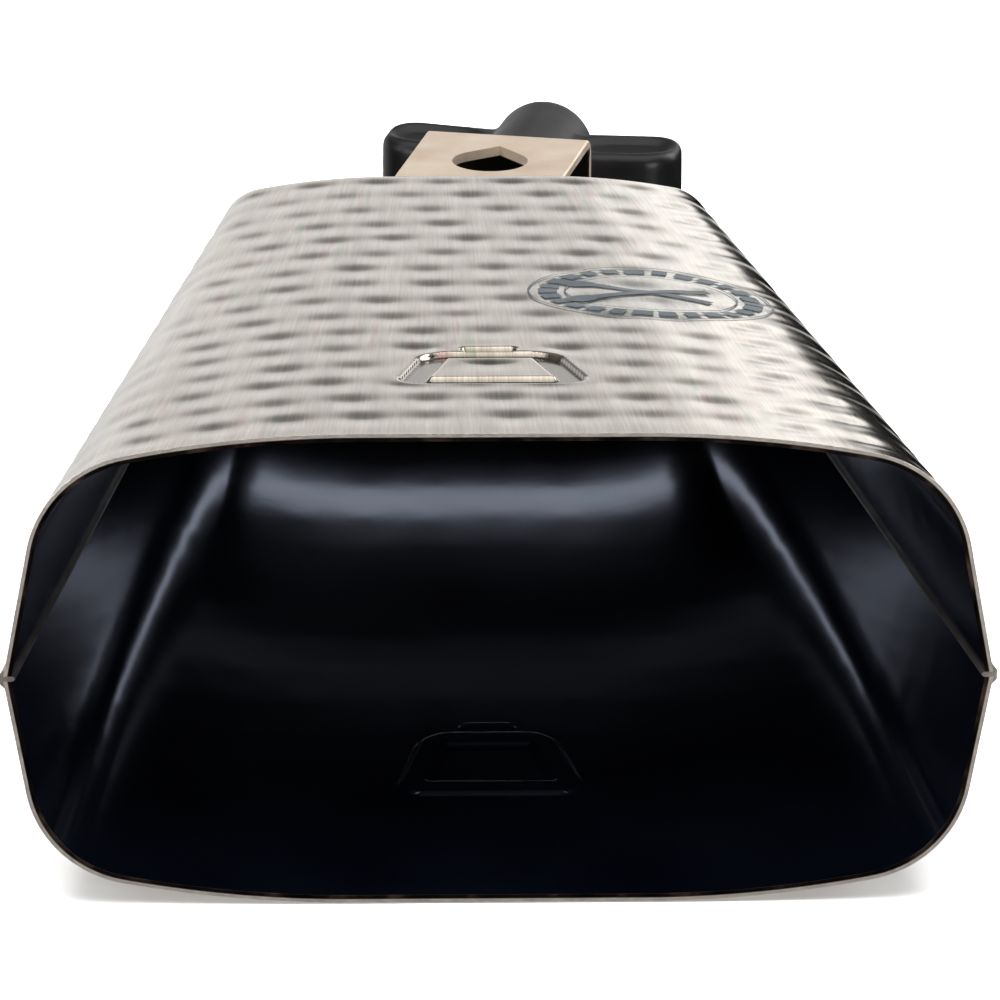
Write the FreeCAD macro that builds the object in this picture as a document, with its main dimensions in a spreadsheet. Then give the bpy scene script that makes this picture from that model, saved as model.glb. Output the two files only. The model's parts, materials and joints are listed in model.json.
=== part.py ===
"""Clamp-mounted metal cowbell, drawn as a parametric assembly of separate pieces.

The design frame has its origin at the middle of the mouth, at the height of the side seams:
+X to the player's right, +Y from the mouth to the closed end, +Z up. Each piece is drawn in
that frame, or in the clamp's own frame behind the closed end, and then placed in the part's
frame, where the lower face lies flat on z = 0. Lengths are in millimetres, angles in degrees.
"""
import FreeCAD, Part
import math
import os

import Sketcher
from FreeCAD import Placement, Rotation, Vector

os.makedirs("parts", exist_ok=True)
doc = FreeCAD.newDocument("cowbell")
sheet = doc.addObject("Spreadsheet::Sheet", "sheet")

drivingDimensions = [
    ("body_length", 203.0, "mouth to closed end, outside"),
    ("wall", 1.25, "steel sheet of the shells"),
    ("seam_gap", 0.4, "half of the root gap that the seam welds fill"),
    ("side_draft", 10.35, "lean of the side walls from upright"),
    ("shoulder_sweep", 11.0, "arc of the broad shoulder between flat face and corner"),
    ("mouth_half_width", 74.4, "side seam to middle, at the mouth"),
    ("end_half_width", 42.6, "side seam to middle, at the closed end"),
    ("mouth_rise", 38.4, "seam to upper face, at the mouth"),
    ("end_rise", 19.4, "seam to upper face, at the closed end"),
    ("mouth_drop", 36.1, "seam to lower face, at the mouth"),
    ("end_drop", 19.4, "seam to lower face, at the closed end"),
    ("mouth_shoulder_radius", 183.0, "shoulder arc at the mouth"),
    ("end_shoulder_radius", 114.0, "shoulder arc at the closed end"),
    ("mouth_corner_radius", 18.2, "corner arc at the mouth"),
    ("end_corner_radius", 7.3, "corner arc at the closed end"),
    ("end_edge_radius", 3.6, "rounding where the walls turn into the closed end"),
    ("weld_half_width", 1.5, "ground weld cap, half of its width"),
    ("weld_height", 0.55, "ground weld cap, height over the sheet"),
    ("weld_turn", 7.0, "how far the end weld runs round its corners, along the bell"),
    ("root_height", 0.45, "weld root, height inside the sheet"),
    ("rest_flat", 0.02, "depth of the plane that the lower face is dressed to, so that it lies flat"),
    ("rest_station", 100.0, "origin's distance behind the mouth, on the lower face"),
    ("clamp_yaw", 12.8, "clamp axis turned from the bell's axis, toward +X"),
    ("clamp_offset", -1.0, "clamp axis from the bell's axis, at the closed end"),
    ("clamp_height", 2.0, "clamp axis over the seam plane"),
    ("strap_width", 28.4, "bracket, across"),
    ("strap_sheet", 1.8, "bracket, sheet thickness"),
    ("strap_outer_height", 24.0, "bracket, outside of one leg to outside of the other"),
    ("strap_bend_radius", 3.6, "bracket, outer radius of its two bends"),
    ("strap_edge", 0.4, "rounding of the strap's long edges"),
    ("strap_reach", 45.15, "closed end to the outside of the bracket's web, on the axis"),
    ("rod_station", 26.25, "closed end to the rod holes, on the axis"),
    ("rod_hole_radius", 6.5, "round side of the teardrop rod holes"),
    ("web_hole_radius", 4.3, "clearance hole for the eye bolt's shank"),
    ("bead_leg", 1.8, "fillet weld beads of the bracket"),
    ("bolt_radius", 3.93, "plain radius that stands for the M8 thread"),
    ("bolt_point", 0.9, "chamfer at the free end of the eye bolt"),
    ("eye_inner_radius", 7.0, "eye bolt, hole for the rod"),
    ("eye_outer_radius", 11.0, "eye bolt, outside of the eye"),
    ("eye_height", 9.0, "eye bolt, height of the eye"),
    ("eye_edge_radius", 1.4, "rounding of the eye's edges"),
    ("bolt_end_station", 69.0, "free end of the eye bolt, on the axis"),
    ("washer_radius", 8.0, "washer, outside"),
    ("washer_hole_radius", 4.2, "washer, hole"),
    ("washer_thickness", 1.6, "washer"),
    ("nut_clearance", 0.3, "running gap between washer and wing nut"),
    ("hub_radius", 9.0, "wing nut hub at its foot"),
    ("hub_tip_radius", 8.8, "wing nut hub where its dome begins"),
    ("dome_radius", 4.4, "rounding of the hub's far end"),
    ("hub_length", 32.5, "wing nut hub, foot to dome"),
    ("hub_bore_radius", 5.0, "blind bore over the end of the eye bolt"),
    ("hub_dome_wall", 3.0, "plastic left at the dome over the blind bore"),
    ("insert_radius", 6.4, "metal insert, across its hexagon's corners, halved"),
    ("insert_length", 11.0, "metal insert"),
    ("insert_bore_radius", 4.0, "threaded bore of the insert, running on the bolt"),
    ("wing_span", 52.5, "wing tip to wing tip"),
    ("wing_thickness", 10.8, "wing, across the finger faces"),
    ("wing_depth", 15.0, "wing, along the axis, at its tip"),
    ("wing_start", 7.5, "wing nut foot to the near edge of the wings"),
    ("wing_root", 5.0, "half of the straight stretch where the wings cross the hub"),
    ("wing_lean", 2.5, "how far the wing sweeps back towards its tip"),
    ("wing_tip_radius", 5.5, "rounding of the wing tips, seen from above"),
    ("wing_edge_radius", 2.0, "rounding of the wings' long edges"),
    ("decal_radius", 20.0, "clear film badge"),
    ("decal_thickness", 0.15, "clear film badge"),
    ("decal_across", 27.0, "badge centre to the bell's axis"),
    ("decal_station", 104.0, "badge centre to the mouth"),
]
for row, (alias, value, meaning) in enumerate(drivingDimensions, start=1):
    sheet.set(f"A{row}", meaning)
    sheet.set(f"B{row}", str(value))
    sheet.setAlias(f"B{row}", alias)
doc.recompute()


def size(alias):
    return float(getattr(sheet, alias))


def evaluate(formula):
    """The number that a formula of the sheet gives, so that a sketch starts at its solved place."""
    return float(sheet.evalExpression(formula.replace("sheet.", "")))


def makeBody(label):
    body = doc.addObject("PartDesign::Body", label)
    body.Label = label
    return body


def planeOf(body, role):
    return next(plane for plane in body.Origin.OriginFeatures if plane.Role == role)


def addSketch(body, name, role, offset=0.0, offsetFormula=None):
    """A sketch on one of the body's origin planes, moved along the plane's normal."""
    sketch = body.newObject("Sketcher::SketchObject", name)
    sketch.AttachmentSupport = [(planeOf(body, role), "")]
    sketch.MapMode = "FlatFace"
    sketch.AttachmentOffset = Placement(Vector(0, 0, offset), Rotation())
    if offsetFormula:
        sketch.setExpression("AttachmentOffset.Base.z", offsetFormula)
    return sketch


def bind(sketch, kind, *targets, formula, start):
    """Add a dimension with a starting value, and bind it to the sheet."""
    index = sketch.addConstraint(Sketcher.Constraint(kind, *targets, start))
    sketch.setExpression(f"Constraints[{index}]", formula)
    return index


def addPolygon(sketch, corners):
    """A closed polygon; each corner is two formulas of the sheet, measured from the origin."""
    values = [(evaluate(across), evaluate(up)) for across, up in corners]
    count = len(values)
    for index in range(count):
        start, end = values[index], values[(index + 1) % count]
        sketch.addGeometry(Part.LineSegment(Vector(*start, 0), Vector(*end, 0)), False)
    for index in range(count):
        sketch.addConstraint(Sketcher.Constraint("Coincident", index, 2, (index + 1) % count, 1))
    for index, (across, up) in enumerate(corners):
        bind(sketch, "DistanceX", -1, 1, index, 1, formula=across, start=values[index][0])
        bind(sketch, "DistanceY", -1, 1, index, 1, formula=up, start=values[index][1])




def addFeature(body, kind, name, **settings):
    """A solid feature; a setting that is text is a formula of the sheet."""
    feature = body.newObject(f"PartDesign::{kind}", name)
    for key, value in settings.items():
        if isinstance(value, str):
            feature.setExpression(key, value)
        else:
            setattr(feature, key, value)
    doc.recompute()
    return feature


def edgesWhere(feature, test):
    """Names of the edges whose every vertex passes the test."""
    return [f"Edge{index}" for index, edge in enumerate(feature.Shape.Edges, start=1)
            if all(test(vertex.Point) for vertex in edge.Vertexes)]


def uprightEdges(feature, station):
    """Names of the straight edges that stand upright at a station along Y."""
    return [name for name in edgesWhere(feature, lambda point: near(point.y, station))
            if abs(feature.Shape.getElement(name).tangentAt(0).z) > 0.9]


def near(value, target):
    return abs(value - target) < 1e-4


# ---- shells: two pressed halves, each with a broad face, two side walls and half of the end ----

def alongBell(name, station):
    """A mouth size that changes evenly to its closed-end size, at a station, as a formula."""
    return f"(sheet.mouth_{name} + (sheet.end_{name} - sheet.mouth_{name}) * ({station}) / sheet.body_length)"


def addShellSection(body, name, heightName, station, inset):
    """Half of the bell's cross-section, above the seam: sides, corners, shoulders and a flat."""
    formulas = {
        "width": f"{alongBell('half_width', station)} - {inset} / cos(sheet.side_draft)",
        "height": f"{alongBell(heightName, station)} - {inset}",
        "shoulder": f"{alongBell('shoulder_radius', station)} - {inset}",
        "corner": f"{alongBell('corner_radius', station)} - {inset}",
    }
    width, height, shoulder, corner = (evaluate(formula) for formula in formulas.values())
    gap = size("seam_gap")
    draft = math.radians(size("side_draft"))
    sweep = math.radians(size("shoulder_sweep"))
    cornerUp = height - shoulder * (1 - math.cos(sweep)) - corner * math.cos(sweep)
    sideTop = cornerUp + corner * math.sin(draft)
    cornerAcross = width - (sideTop - gap) * math.tan(draft) - corner * math.cos(draft)
    flat = cornerAcross - (shoulder - corner) * math.sin(sweep)
    sideAcross = cornerAcross + corner * math.cos(draft)

    sketch = addSketch(body, name, "XZ_Plane", -evaluate(station), f"-({station})")
    upright = Vector(0, 0, 1)
    top = math.pi / 2

    def arc(across, up, radius, first, last):
        circle = Part.Circle(Vector(across, up, 0), upright, radius)
        sketch.addGeometry(Part.ArcOfCircle(circle, first, last), False)

    def line(start, end):
        sketch.addGeometry(Part.LineSegment(Vector(*start, 0), Vector(*end, 0)), False)

    line((-width, gap), (width, gap))
    line((width, gap), (sideAcross, sideTop))
    arc(cornerAcross, cornerUp, corner, draft, top - sweep)
    arc(flat, height - shoulder, shoulder, top - sweep, top)
    line((flat, height), (-flat, height))
    arc(-flat, height - shoulder, shoulder, top, top + sweep)
    arc(-cornerAcross, cornerUp, corner, top + sweep, math.pi - draft)
    line((-sideAcross, sideTop), (-width, gap))

    base, side, cornerArc, shoulderArc, flatLine, leftShoulder, leftCorner, leftSide = range(8)
    for first, second in ((base, side), (flatLine, leftShoulder), (leftShoulder, leftCorner),
                          (leftCorner, leftSide), (leftSide, base)):
        sketch.addConstraint(Sketcher.Constraint("Coincident", first, 2, second, 1))
    for first, second in ((side, cornerArc), (cornerArc, shoulderArc), (shoulderArc, flatLine)):
        sketch.addConstraint(Sketcher.Constraint("Tangent", first, 2, second, 1))
    for first, firstEnd, second, secondEnd in ((base, 1, base, 2), (flatLine, 1, flatLine, 2),
                                               (cornerArc, 2, leftShoulder, 2),
                                               (cornerArc, 1, leftSide, 1)):
        sketch.addConstraint(
            Sketcher.Constraint("Symmetric", first, firstEnd, second, secondEnd, -2))
    sketch.addConstraint(Sketcher.Constraint("Equal", cornerArc, leftCorner))
    sketch.addConstraint(Sketcher.Constraint("Equal", shoulderArc, leftShoulder))
    bind(sketch, "DistanceX", -1, 1, base, 2, formula=formulas["width"], start=width)
    bind(sketch, "DistanceY", -1, 1, base, 2, formula="sheet.seam_gap", start=gap)
    bind(sketch, "DistanceY", -1, 1, flatLine, 1, formula=formulas["height"], start=height)
    bind(sketch, "Radius", cornerArc, formula=formulas["corner"], start=corner)
    bind(sketch, "Radius", shoulderArc, formula=formulas["shoulder"], start=shoulder)
    bind(sketch, "Angle", shoulderArc, formula="sheet.shoulder_sweep * 1 deg", start=sweep)
    bind(sketch, "Angle", side, formula="90 deg + sheet.side_draft * 1 deg", start=top + draft)
    return sketch


def roundEnd(body, name, base, station, radius):
    """Round the edges where the walls meet the closed end, outside or inside the sheet."""
    line, gap = evaluate(station), size("seam_gap")
    endEdges = edgesWhere(base, lambda point: near(point.y, line))
    seamEdges = edgesWhere(base, lambda point: near(point.z, gap))
    edges = [edge for edge in endEdges if edge not in seamEdges]
    return addFeature(body, "Fillet", name, Base=(base, edges), Radius=radius)


def makeShell(label, heightName):
    """One pressed half, drawn above the seam plane; the lower one is turned over afterwards."""
    body = makeBody(label)
    end, innerEnd = "sheet.body_length", "(sheet.body_length - sheet.wall)"
    outside = [addShellSection(body, f"{label}_outer_end", heightName, end, "0"),
               addShellSection(body, f"{label}_outer_mouth", heightName, "0", "0")]
    block = addFeature(body, "AdditiveLoft", f"{label}_block",
                       Profile=outside[0], Sections=outside[1:], Ruled=True)
    rounded = roundEnd(body, f"{label}_outer_round", block, end, "sheet.end_edge_radius")
    inside = [addShellSection(body, f"{label}_inner_end", heightName, innerEnd, "sheet.wall"),
              addShellSection(body, f"{label}_inner_mouth", heightName, "0", "sheet.wall")]
    hollow = addFeature(body, "SubtractiveLoft", f"{label}_hollow",
                        Profile=inside[0], Sections=inside[1:], Ruled=True)
    roundEnd(body, f"{label}_inner_round", hollow, innerEnd, "sheet.end_edge_radius - sheet.wall")
    return body, block


def dressFlat(body, label):
    """Take the lower face down to one true plane, which is what the bell rests on."""
    front, back = "(sheet.mouth_drop - sheet.rest_flat)", "(sheet.end_drop - sheet.rest_flat)"
    slope = f"({front} - {back}) / sheet.body_length"
    ahead, behind = "-sheet.wall", "(sheet.body_length + sheet.wall)"
    above = "(sheet.mouth_drop * 2)"
    side = addSketch(body, f"{label}_rest_line", "YZ_Plane")
    addPolygon(side, [(ahead, f"{front} + sheet.wall * {slope}"), (ahead, above),
                      (behind, above), (behind, f"{back} - sheet.wall * {slope}")])
    addFeature(body, "Pocket", f"{label}_rest_flat", Profile=side, Type=1, Midplane=True)


# ---- seam welds: ground beads that join the halves along both sides and across the end ----

def makeSideWeld(label, side):
    """Weld along one side seam: a low cap outside, the root gap, and a thin root line inside."""
    body = makeBody(label)
    sections = []
    for name, station in (("end", "(sheet.body_length - sheet.weld_turn)"), ("mouth", "0")):
        width = alongBell('half_width', station)
        foot = f"({width} - (sheet.weld_half_width - sheet.seam_gap) * tan(sheet.side_draft))"
        cap = f"({width} + sheet.weld_height)"
        inside = f"({width} - sheet.wall / cos(sheet.side_draft))"
        root = f"({inside} - sheet.root_height)"
        profile = [(foot, "sheet.weld_half_width"), (cap, "sheet.weld_half_width * 0.5"),
                   (cap, "-sheet.weld_half_width * 0.5"), (foot, "-sheet.weld_half_width"),
                   (width, "-sheet.seam_gap"), (inside, "-sheet.seam_gap"),
                   (root, "-sheet.seam_gap * 0.5"), (root, "sheet.seam_gap * 0.5"),
                   (inside, "sheet.seam_gap"), (width, "sheet.seam_gap")]
        sketch = addSketch(body, f"{label}_{name}", "XZ_Plane", -evaluate(station), f"-{station}")
        addPolygon(sketch, [(f"{side} * {across}", up) for across, up in profile])
        sections.append(sketch)
    doc.recompute()
    addFeature(body, "AdditiveLoft", f"{label}_bead",
               Profile=sections[0], Sections=[sections[1]], Ruled=True)
    return body


def makeEndWeld(label):
    """Weld across the closed end and round its two corners, in the plane of the seam."""
    body = makeBody(label)
    corner = "(sheet.body_length - sheet.weld_turn)"
    outerEnd = "(sheet.body_length + sheet.weld_height)"
    innerEnd = "(sheet.body_length - sheet.wall - sheet.root_height)"
    outerSide = f"({alongBell('half_width', corner)} + sheet.weld_height)"
    outerCorner = f"({alongBell('half_width', outerEnd)} + sheet.weld_height)"
    innerSide = f"({alongBell('half_width', corner)} - sheet.wall - sheet.root_height)"
    innerCorner = f"({alongBell('half_width', innerEnd)} - sheet.wall - sheet.root_height)"
    band = addSketch(body, f"{label}_band", "XY_Plane")
    addPolygon(band, [(outerSide, corner), (outerCorner, outerEnd),
                      (f"-{outerCorner}", outerEnd), (f"-{outerSide}", corner),
                      (f"-{innerSide}", corner), (f"-{innerCorner}", innerEnd),
                      (innerCorner, innerEnd), (innerSide, corner)])
    root = addFeature(body, "Pad", f"{label}_root", Profile=band, Length="2 * sheet.seam_gap",
                      Midplane=True)
    outside = addFeature(body, "Fillet", f"{label}_outer_corner", Radius="sheet.end_edge_radius",
                         Base=(root, uprightEdges(root, evaluate(outerEnd))))
    addFeature(body, "Fillet", f"{label}_inner_corner",
               Base=(outside, uprightEdges(outside, evaluate(innerEnd))),
               Radius="sheet.end_edge_radius - sheet.wall")
    cap = addSketch(body, f"{label}_cap", "XY_Plane")
    capEnd = "(sheet.end_half_width - sheet.end_edge_radius)"
    addPolygon(cap, [(capEnd, "sheet.body_length"), (capEnd, outerEnd),
                     (f"-{capEnd}", outerEnd), (f"-{capEnd}", "sheet.body_length")])
    addFeature(body, "Pad", f"{label}_bead", Profile=cap, Length="sheet.weld_half_width * 2",
               Midplane=True)
    return body


# ---- clamp: a strap bracket welded to the closed end, and the eye bolt that it guides ----

def makeBracket(label):
    """A strap bent to a U, its legs cut on the skew so that they meet the closed end."""
    body = makeBody(label)
    outer, inner = "sheet.strap_outer_height / 2", "(sheet.strap_outer_height / 2 - sheet.strap_sheet)"
    start, web = "-sheet.strap_width / 2", "sheet.strap_reach"
    webInside = "(sheet.strap_reach - sheet.strap_sheet)"
    side = addSketch(body, f"{label}_side", "YZ_Plane")
    addPolygon(side, [(start, outer), (web, outer), (web, f"-{outer}"), (start, f"-{outer}"),
                      (start, f"-{inner}"), (webInside, f"-{inner}"), (webInside, inner),
                      (start, inner)])
    strap = addFeature(body, "Pad", f"{label}_strap", Profile=side, Length="sheet.strap_width",
                       Midplane=True)
    reach = size("strap_reach")
    sheetInside = reach - size("strap_sheet")
    halfOuter = size("strap_outer_height") / 2
    halfInner = halfOuter - size("strap_sheet")
    bends = edgesWhere(strap, lambda point: near(point.y, reach) and near(abs(point.z), halfOuter))
    bent = addFeature(body, "Fillet", f"{label}_outer_bend",
                      Base=(strap, [edge for edge in bends if alongX(strap, edge)]),
                      Radius="sheet.strap_bend_radius")
    bends = edgesWhere(bent, lambda point: near(point.y, sheetInside)
                       and near(abs(point.z), halfInner))
    bent = addFeature(body, "Fillet", f"{label}_inner_bend",
                      Base=(bent, [edge for edge in bends if alongX(bent, edge)]),
                      Radius="sheet.strap_bend_radius - sheet.strap_sheet")
    halfWidth, legEnd = size("strap_width") / 2, -size("strap_width") / 2
    outline = [name for name in edgesWhere(bent, lambda point: near(abs(point.x), halfWidth))
               if not alongX(bent, name) and not endsAt(bent, name, legEnd)]
    addFeature(body, "Fillet", f"{label}_edges", Base=(bent, outline), Radius="sheet.strap_edge")

    skew = addSketch(body, f"{label}_skew", "XY_Plane")
    beyond = "sheet.strap_width"
    rise = f"({beyond} * tan(sheet.clamp_yaw))"
    addPolygon(skew, [(beyond, rise), (f"-{beyond}", f"-{rise}"),
                      (f"-{beyond}", f"-2 * {beyond}"), (beyond, f"-2 * {beyond}")])
    addFeature(body, "Pocket", f"{label}_skew_cut", Profile=skew, Type=1, Midplane=True)

    holes = addSketch(body, f"{label}_teardrop", "XY_Plane")
    addTeardrop(holes)
    addFeature(body, "Pocket", f"{label}_rod_holes", Profile=holes, Type=1, Midplane=True)

    webFace = addSketch(body, f"{label}_web_centre", "XZ_Plane",
                        -reach, "-sheet.strap_reach")
    webFace.addGeometry(Part.Circle(Vector(0, 0, 0), Vector(0, 0, 1), size("web_hole_radius")))
    webFace.addConstraint(Sketcher.Constraint("Coincident", 0, 3, -1, 1))
    bind(webFace, "Radius", 0, formula="sheet.web_hole_radius", start=size("web_hole_radius"))
    throughWeb = "3 * sheet.strap_sheet"          # centred on the web's outside, so half of it cuts
    addFeature(body, "Pocket", f"{label}_web_hole", Profile=webFace, Length=throughWeb, Midplane=True)
    return body


def alongX(feature, edgeName):
    edge = feature.Shape.getElement(edgeName)
    first, last = (vertex.Point for vertex in edge.Vertexes)
    return near(first.y, last.y) and near(first.z, last.z)


def endsAt(feature, edgeName, station):
    """True for an edge that lies across the legs' ends."""
    return all(near(vertex.Point.y, station) for vertex in feature.Shape.getElement(edgeName).Vertexes)


def addTeardrop(sketch):
    """A round hole with a right-angled notch towards the web, in which a rod centres itself."""
    radius, station = size("rod_hole_radius"), size("rod_station")
    eighth = radius * math.sqrt(0.5)
    circle = Part.Circle(Vector(0, station, 0), Vector(0, 0, 1), radius)
    sketch.addGeometry(Part.ArcOfCircle(circle, math.radians(135), math.radians(405)), False)
    right, tip = Vector(eighth, station + eighth, 0), Vector(0, station + 2 * eighth, 0)
    left = Vector(-eighth, station + eighth, 0)
    sketch.addGeometry(Part.LineSegment(right, tip), False)
    sketch.addGeometry(Part.LineSegment(tip, left), False)
    sketch.addConstraint(Sketcher.Constraint("Tangent", 0, 2, 1, 1))
    sketch.addConstraint(Sketcher.Constraint("Coincident", 1, 2, 2, 1))
    sketch.addConstraint(Sketcher.Constraint("Tangent", 2, 2, 0, 1))
    sketch.addConstraint(Sketcher.Constraint("Perpendicular", 1, 2))
    sketch.addConstraint(Sketcher.Constraint("PointOnObject", 0, 3, -2))
    sketch.addConstraint(Sketcher.Constraint("PointOnObject", 1, 2, -2))
    bind(sketch, "DistanceY", -1, 1, 0, 3, formula="sheet.rod_station", start=station)
    bind(sketch, "Radius", 0, formula="sheet.rod_hole_radius", start=radius)


def makeBracketWeld(label, side):
    """Fillet weld between one leg's outer face and the closed end."""
    body = makeBody(label)
    legFace = f"{side} * sheet.strap_outer_height / 2"
    toe = f"{side} * (sheet.strap_outer_height / 2 + sheet.bead_leg)"
    section = addSketch(body, f"{label}_section", "YZ_Plane")
    addPolygon(section, [("0", legFace), ("sheet.bead_leg", legFace), ("0", toe)])
    addFeature(body, "Pad", f"{label}_bead", Profile=section,
               Length="sheet.strap_width - sheet.bead_leg", Midplane=True)
    return body


def addCircles(sketch, *aliases):
    """Circles about the sketch's origin, one for each radius in the sheet."""
    for index, alias in enumerate(aliases):
        sketch.addGeometry(Part.Circle(Vector(0, 0, 0), Vector(0, 0, 1), size(alias)))
        sketch.addConstraint(Sketcher.Constraint("Coincident", index, 3, -1, 1))
        bind(sketch, "Radius", index, formula=f"sheet.{alias}", start=size(alias))


def makeEyeBolt(label):
    """The bolt whose eye holds the rod between the bracket's legs."""
    body = makeBody(label)
    station = size("rod_station")
    eye = addSketch(body, f"{label}_eye", "XY_Plane")
    for index, alias in enumerate(("eye_outer_radius", "eye_inner_radius")):
        eye.addGeometry(Part.Circle(Vector(0, station, 0), Vector(0, 0, 1), size(alias)))
        eye.addConstraint(Sketcher.Constraint("PointOnObject", index, 3, -2))
        bind(eye, "DistanceY", -1, 1, index, 3, formula="sheet.rod_station", start=station)
        bind(eye, "Radius", index, formula=f"sheet.{alias}", start=size(alias))
    ring = addFeature(body, "Pad", f"{label}_ring", Profile=eye, Length="sheet.eye_height",
                      Midplane=True)
    rim = edgesWhere(ring, lambda point: near(abs(point.z), size("eye_height") / 2))
    addFeature(body, "Fillet", f"{label}_ring_rounded", Base=(ring, rim),
               Radius="sheet.eye_edge_radius")
    begin = "(sheet.rod_station + (sheet.eye_inner_radius + sheet.eye_outer_radius) / 2)"
    shank = addSketch(body, f"{label}_section", "XZ_Plane", -evaluate(begin), f"-{begin}")
    addCircles(shank, "bolt_radius")
    rod = addFeature(body, "Pad", f"{label}_shank", Profile=shank,
                     Length=f"sheet.bolt_end_station - {begin}", Reversed=True)
    end = edgesWhere(rod, lambda point: near(point.y, size("bolt_end_station")))
    addFeature(body, "Chamfer", f"{label}_point", Base=(rod, end), Size="sheet.bolt_point")
    return body


def makeWasher(label):
    body = makeBody(label)
    face = addSketch(body, f"{label}_face", "XZ_Plane", -size("strap_reach"), "-sheet.strap_reach")
    addCircles(face, "washer_radius", "washer_hole_radius")
    addFeature(body, "Pad", f"{label}_disc", Profile=face, Length="sheet.washer_thickness",
               Reversed=True)
    return body


# ---- wing nut: a moulded body with a closed dome, and the metal insert that it carries ----

nutFoot = "(sheet.strap_reach + sheet.washer_thickness + sheet.nut_clearance)"


def addHexagon(sketch, alias):
    """A regular hexagon about the origin, its corners a sheet radius away."""
    corners = [(f"sheet.{alias} * cos({60 * step})", f"sheet.{alias} * sin({60 * step})")
               for step in range(6)]
    addPolygon(sketch, corners)


def makeWingNut(label):
    body = makeBody(label)
    dome = f"({nutFoot} + sheet.hub_length)"
    profile = addSketch(body, f"{label}_profile", "YZ_Plane")
    addPolygon(profile, [(nutFoot, "0"), (nutFoot, "sheet.hub_radius"),
                         (dome, "sheet.hub_tip_radius"), (dome, "0")])
    hub = addFeature(body, "Revolution", f"{label}_hub", Profile=profile,
                     ReferenceAxis=(profile, ["H_Axis"]), Angle=360.0)
    tip = edgesWhere(hub, lambda point: near(point.y, evaluate(dome)) and not near(point.z, 0))
    addFeature(body, "Fillet", f"{label}_dome", Base=(hub, tip), Radius="sheet.dome_radius")

    plan = addSketch(body, f"{label}_plan", "XY_Plane")
    tipAcross, rootAcross = "sheet.wing_span / 2", "sheet.wing_root"
    rootNear = f"({nutFoot} + sheet.wing_start)"
    tipNear = f"({rootNear} + sheet.wing_lean)"
    tipFar = f"({tipNear} + sheet.wing_depth)"
    rootFar = f"({tipFar} - sheet.wing_lean)"
    addPolygon(plan, [(tipAcross, tipNear), (tipAcross, tipFar), (rootAcross, rootFar),
                      (f"-{rootAcross}", rootFar), (f"-{tipAcross}", tipFar),
                      (f"-{tipAcross}", tipNear), (f"-{rootAcross}", rootNear),
                      (rootAcross, rootNear)])
    wings = addFeature(body, "Pad", f"{label}_wings", Profile=plan,
                       Length="sheet.wing_thickness", Midplane=True)
    halfSpan = size("wing_span") / 2
    upright = [name for name in edgesWhere(wings, lambda point: near(abs(point.x), halfSpan))
               if abs(wings.Shape.getElement(name).tangentAt(0).z) > 0.9]
    tips = addFeature(body, "Fillet", f"{label}_tips", Base=(wings, upright),
                      Radius="sheet.wing_tip_radius")
    halfThick = size("wing_thickness") / 2
    rim = edgesWhere(tips, lambda point: near(abs(point.z), halfThick)
                     and abs(point.x) > size("hub_radius") + size("wing_edge_radius"))
    addFeature(body, "Fillet", f"{label}_rim", Base=(tips, rim), Radius="sheet.wing_edge_radius")

    socket = addSketch(body, f"{label}_socket", "XZ_Plane", -evaluate(nutFoot), f"-{nutFoot}")
    addHexagon(socket, "insert_radius")
    addFeature(body, "Pocket", f"{label}_insert_seat", Profile=socket, Reversed=False,
               Length="sheet.insert_length")
    bore = addSketch(body, f"{label}_bore", "XZ_Plane", -evaluate(nutFoot), f"-{nutFoot}")
    addCircles(bore, "hub_bore_radius")
    addFeature(body, "Pocket", f"{label}_blind_bore", Profile=bore, Reversed=False,
               Length="sheet.hub_length - sheet.hub_dome_wall")
    return body


def makeInsert(label):
    body = makeBody(label)
    section = addSketch(body, f"{label}_section", "XZ_Plane", -evaluate(nutFoot), f"-{nutFoot}")
    addHexagon(section, "insert_radius")
    index = len(section.Geometry)
    section.addGeometry(Part.Circle(Vector(0, 0, 0), Vector(0, 0, 1), size("insert_bore_radius")))
    section.addConstraint(Sketcher.Constraint("Coincident", index, 3, -1, 1))
    bind(section, "Radius", index, formula="sheet.insert_bore_radius",
         start=size("insert_bore_radius"))
    addFeature(body, "Pad", f"{label}_prism", Profile=section, Length="sheet.insert_length",
               Reversed=True)
    return body


# ---- badge: a round clear film that follows the upper face and runs onto its shoulder ----

def makeBadge(label, faceBlock):
    """The film is the slice between the face and the same face raised by the film's thickness."""
    face = faceBlock.Shape
    raised = face.translated(Vector(0, 0, size("decal_thickness")))
    tall = size("mouth_rise") * 2
    centre = Vector(size("decal_across"), size("decal_station"), 0)
    disc = Part.makeCylinder(size("decal_radius"), tall, centre)
    film = doc.addObject("Part::Feature", label)
    film.Label = label
    film.Shape = raised.cut(face).common(disc)
    return film


# ---- assembly ----

fall = math.degrees(math.atan((size("mouth_drop") - size("end_drop")) / size("body_length")))
toRest = Rotation(Vector(1, 0, 0), -fall)
lowerFace = (size("mouth_drop") - size("rest_flat")
             - size("rest_station") * math.tan(math.radians(fall)))
bellPlace = Placement(-toRest.multVec(Vector(0, size("rest_station"), -lowerFace)), toRest)
clampPlace = bellPlace * Placement(
    Vector(size("clamp_offset"), size("body_length"), size("clamp_height")), Rotation())
axisPlace = clampPlace * Placement(Vector(), Rotation(Vector(0, 0, 1), -size("clamp_yaw")))
turnedOver = Placement(Vector(), Rotation(Vector(0, 1, 0), 180))

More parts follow.
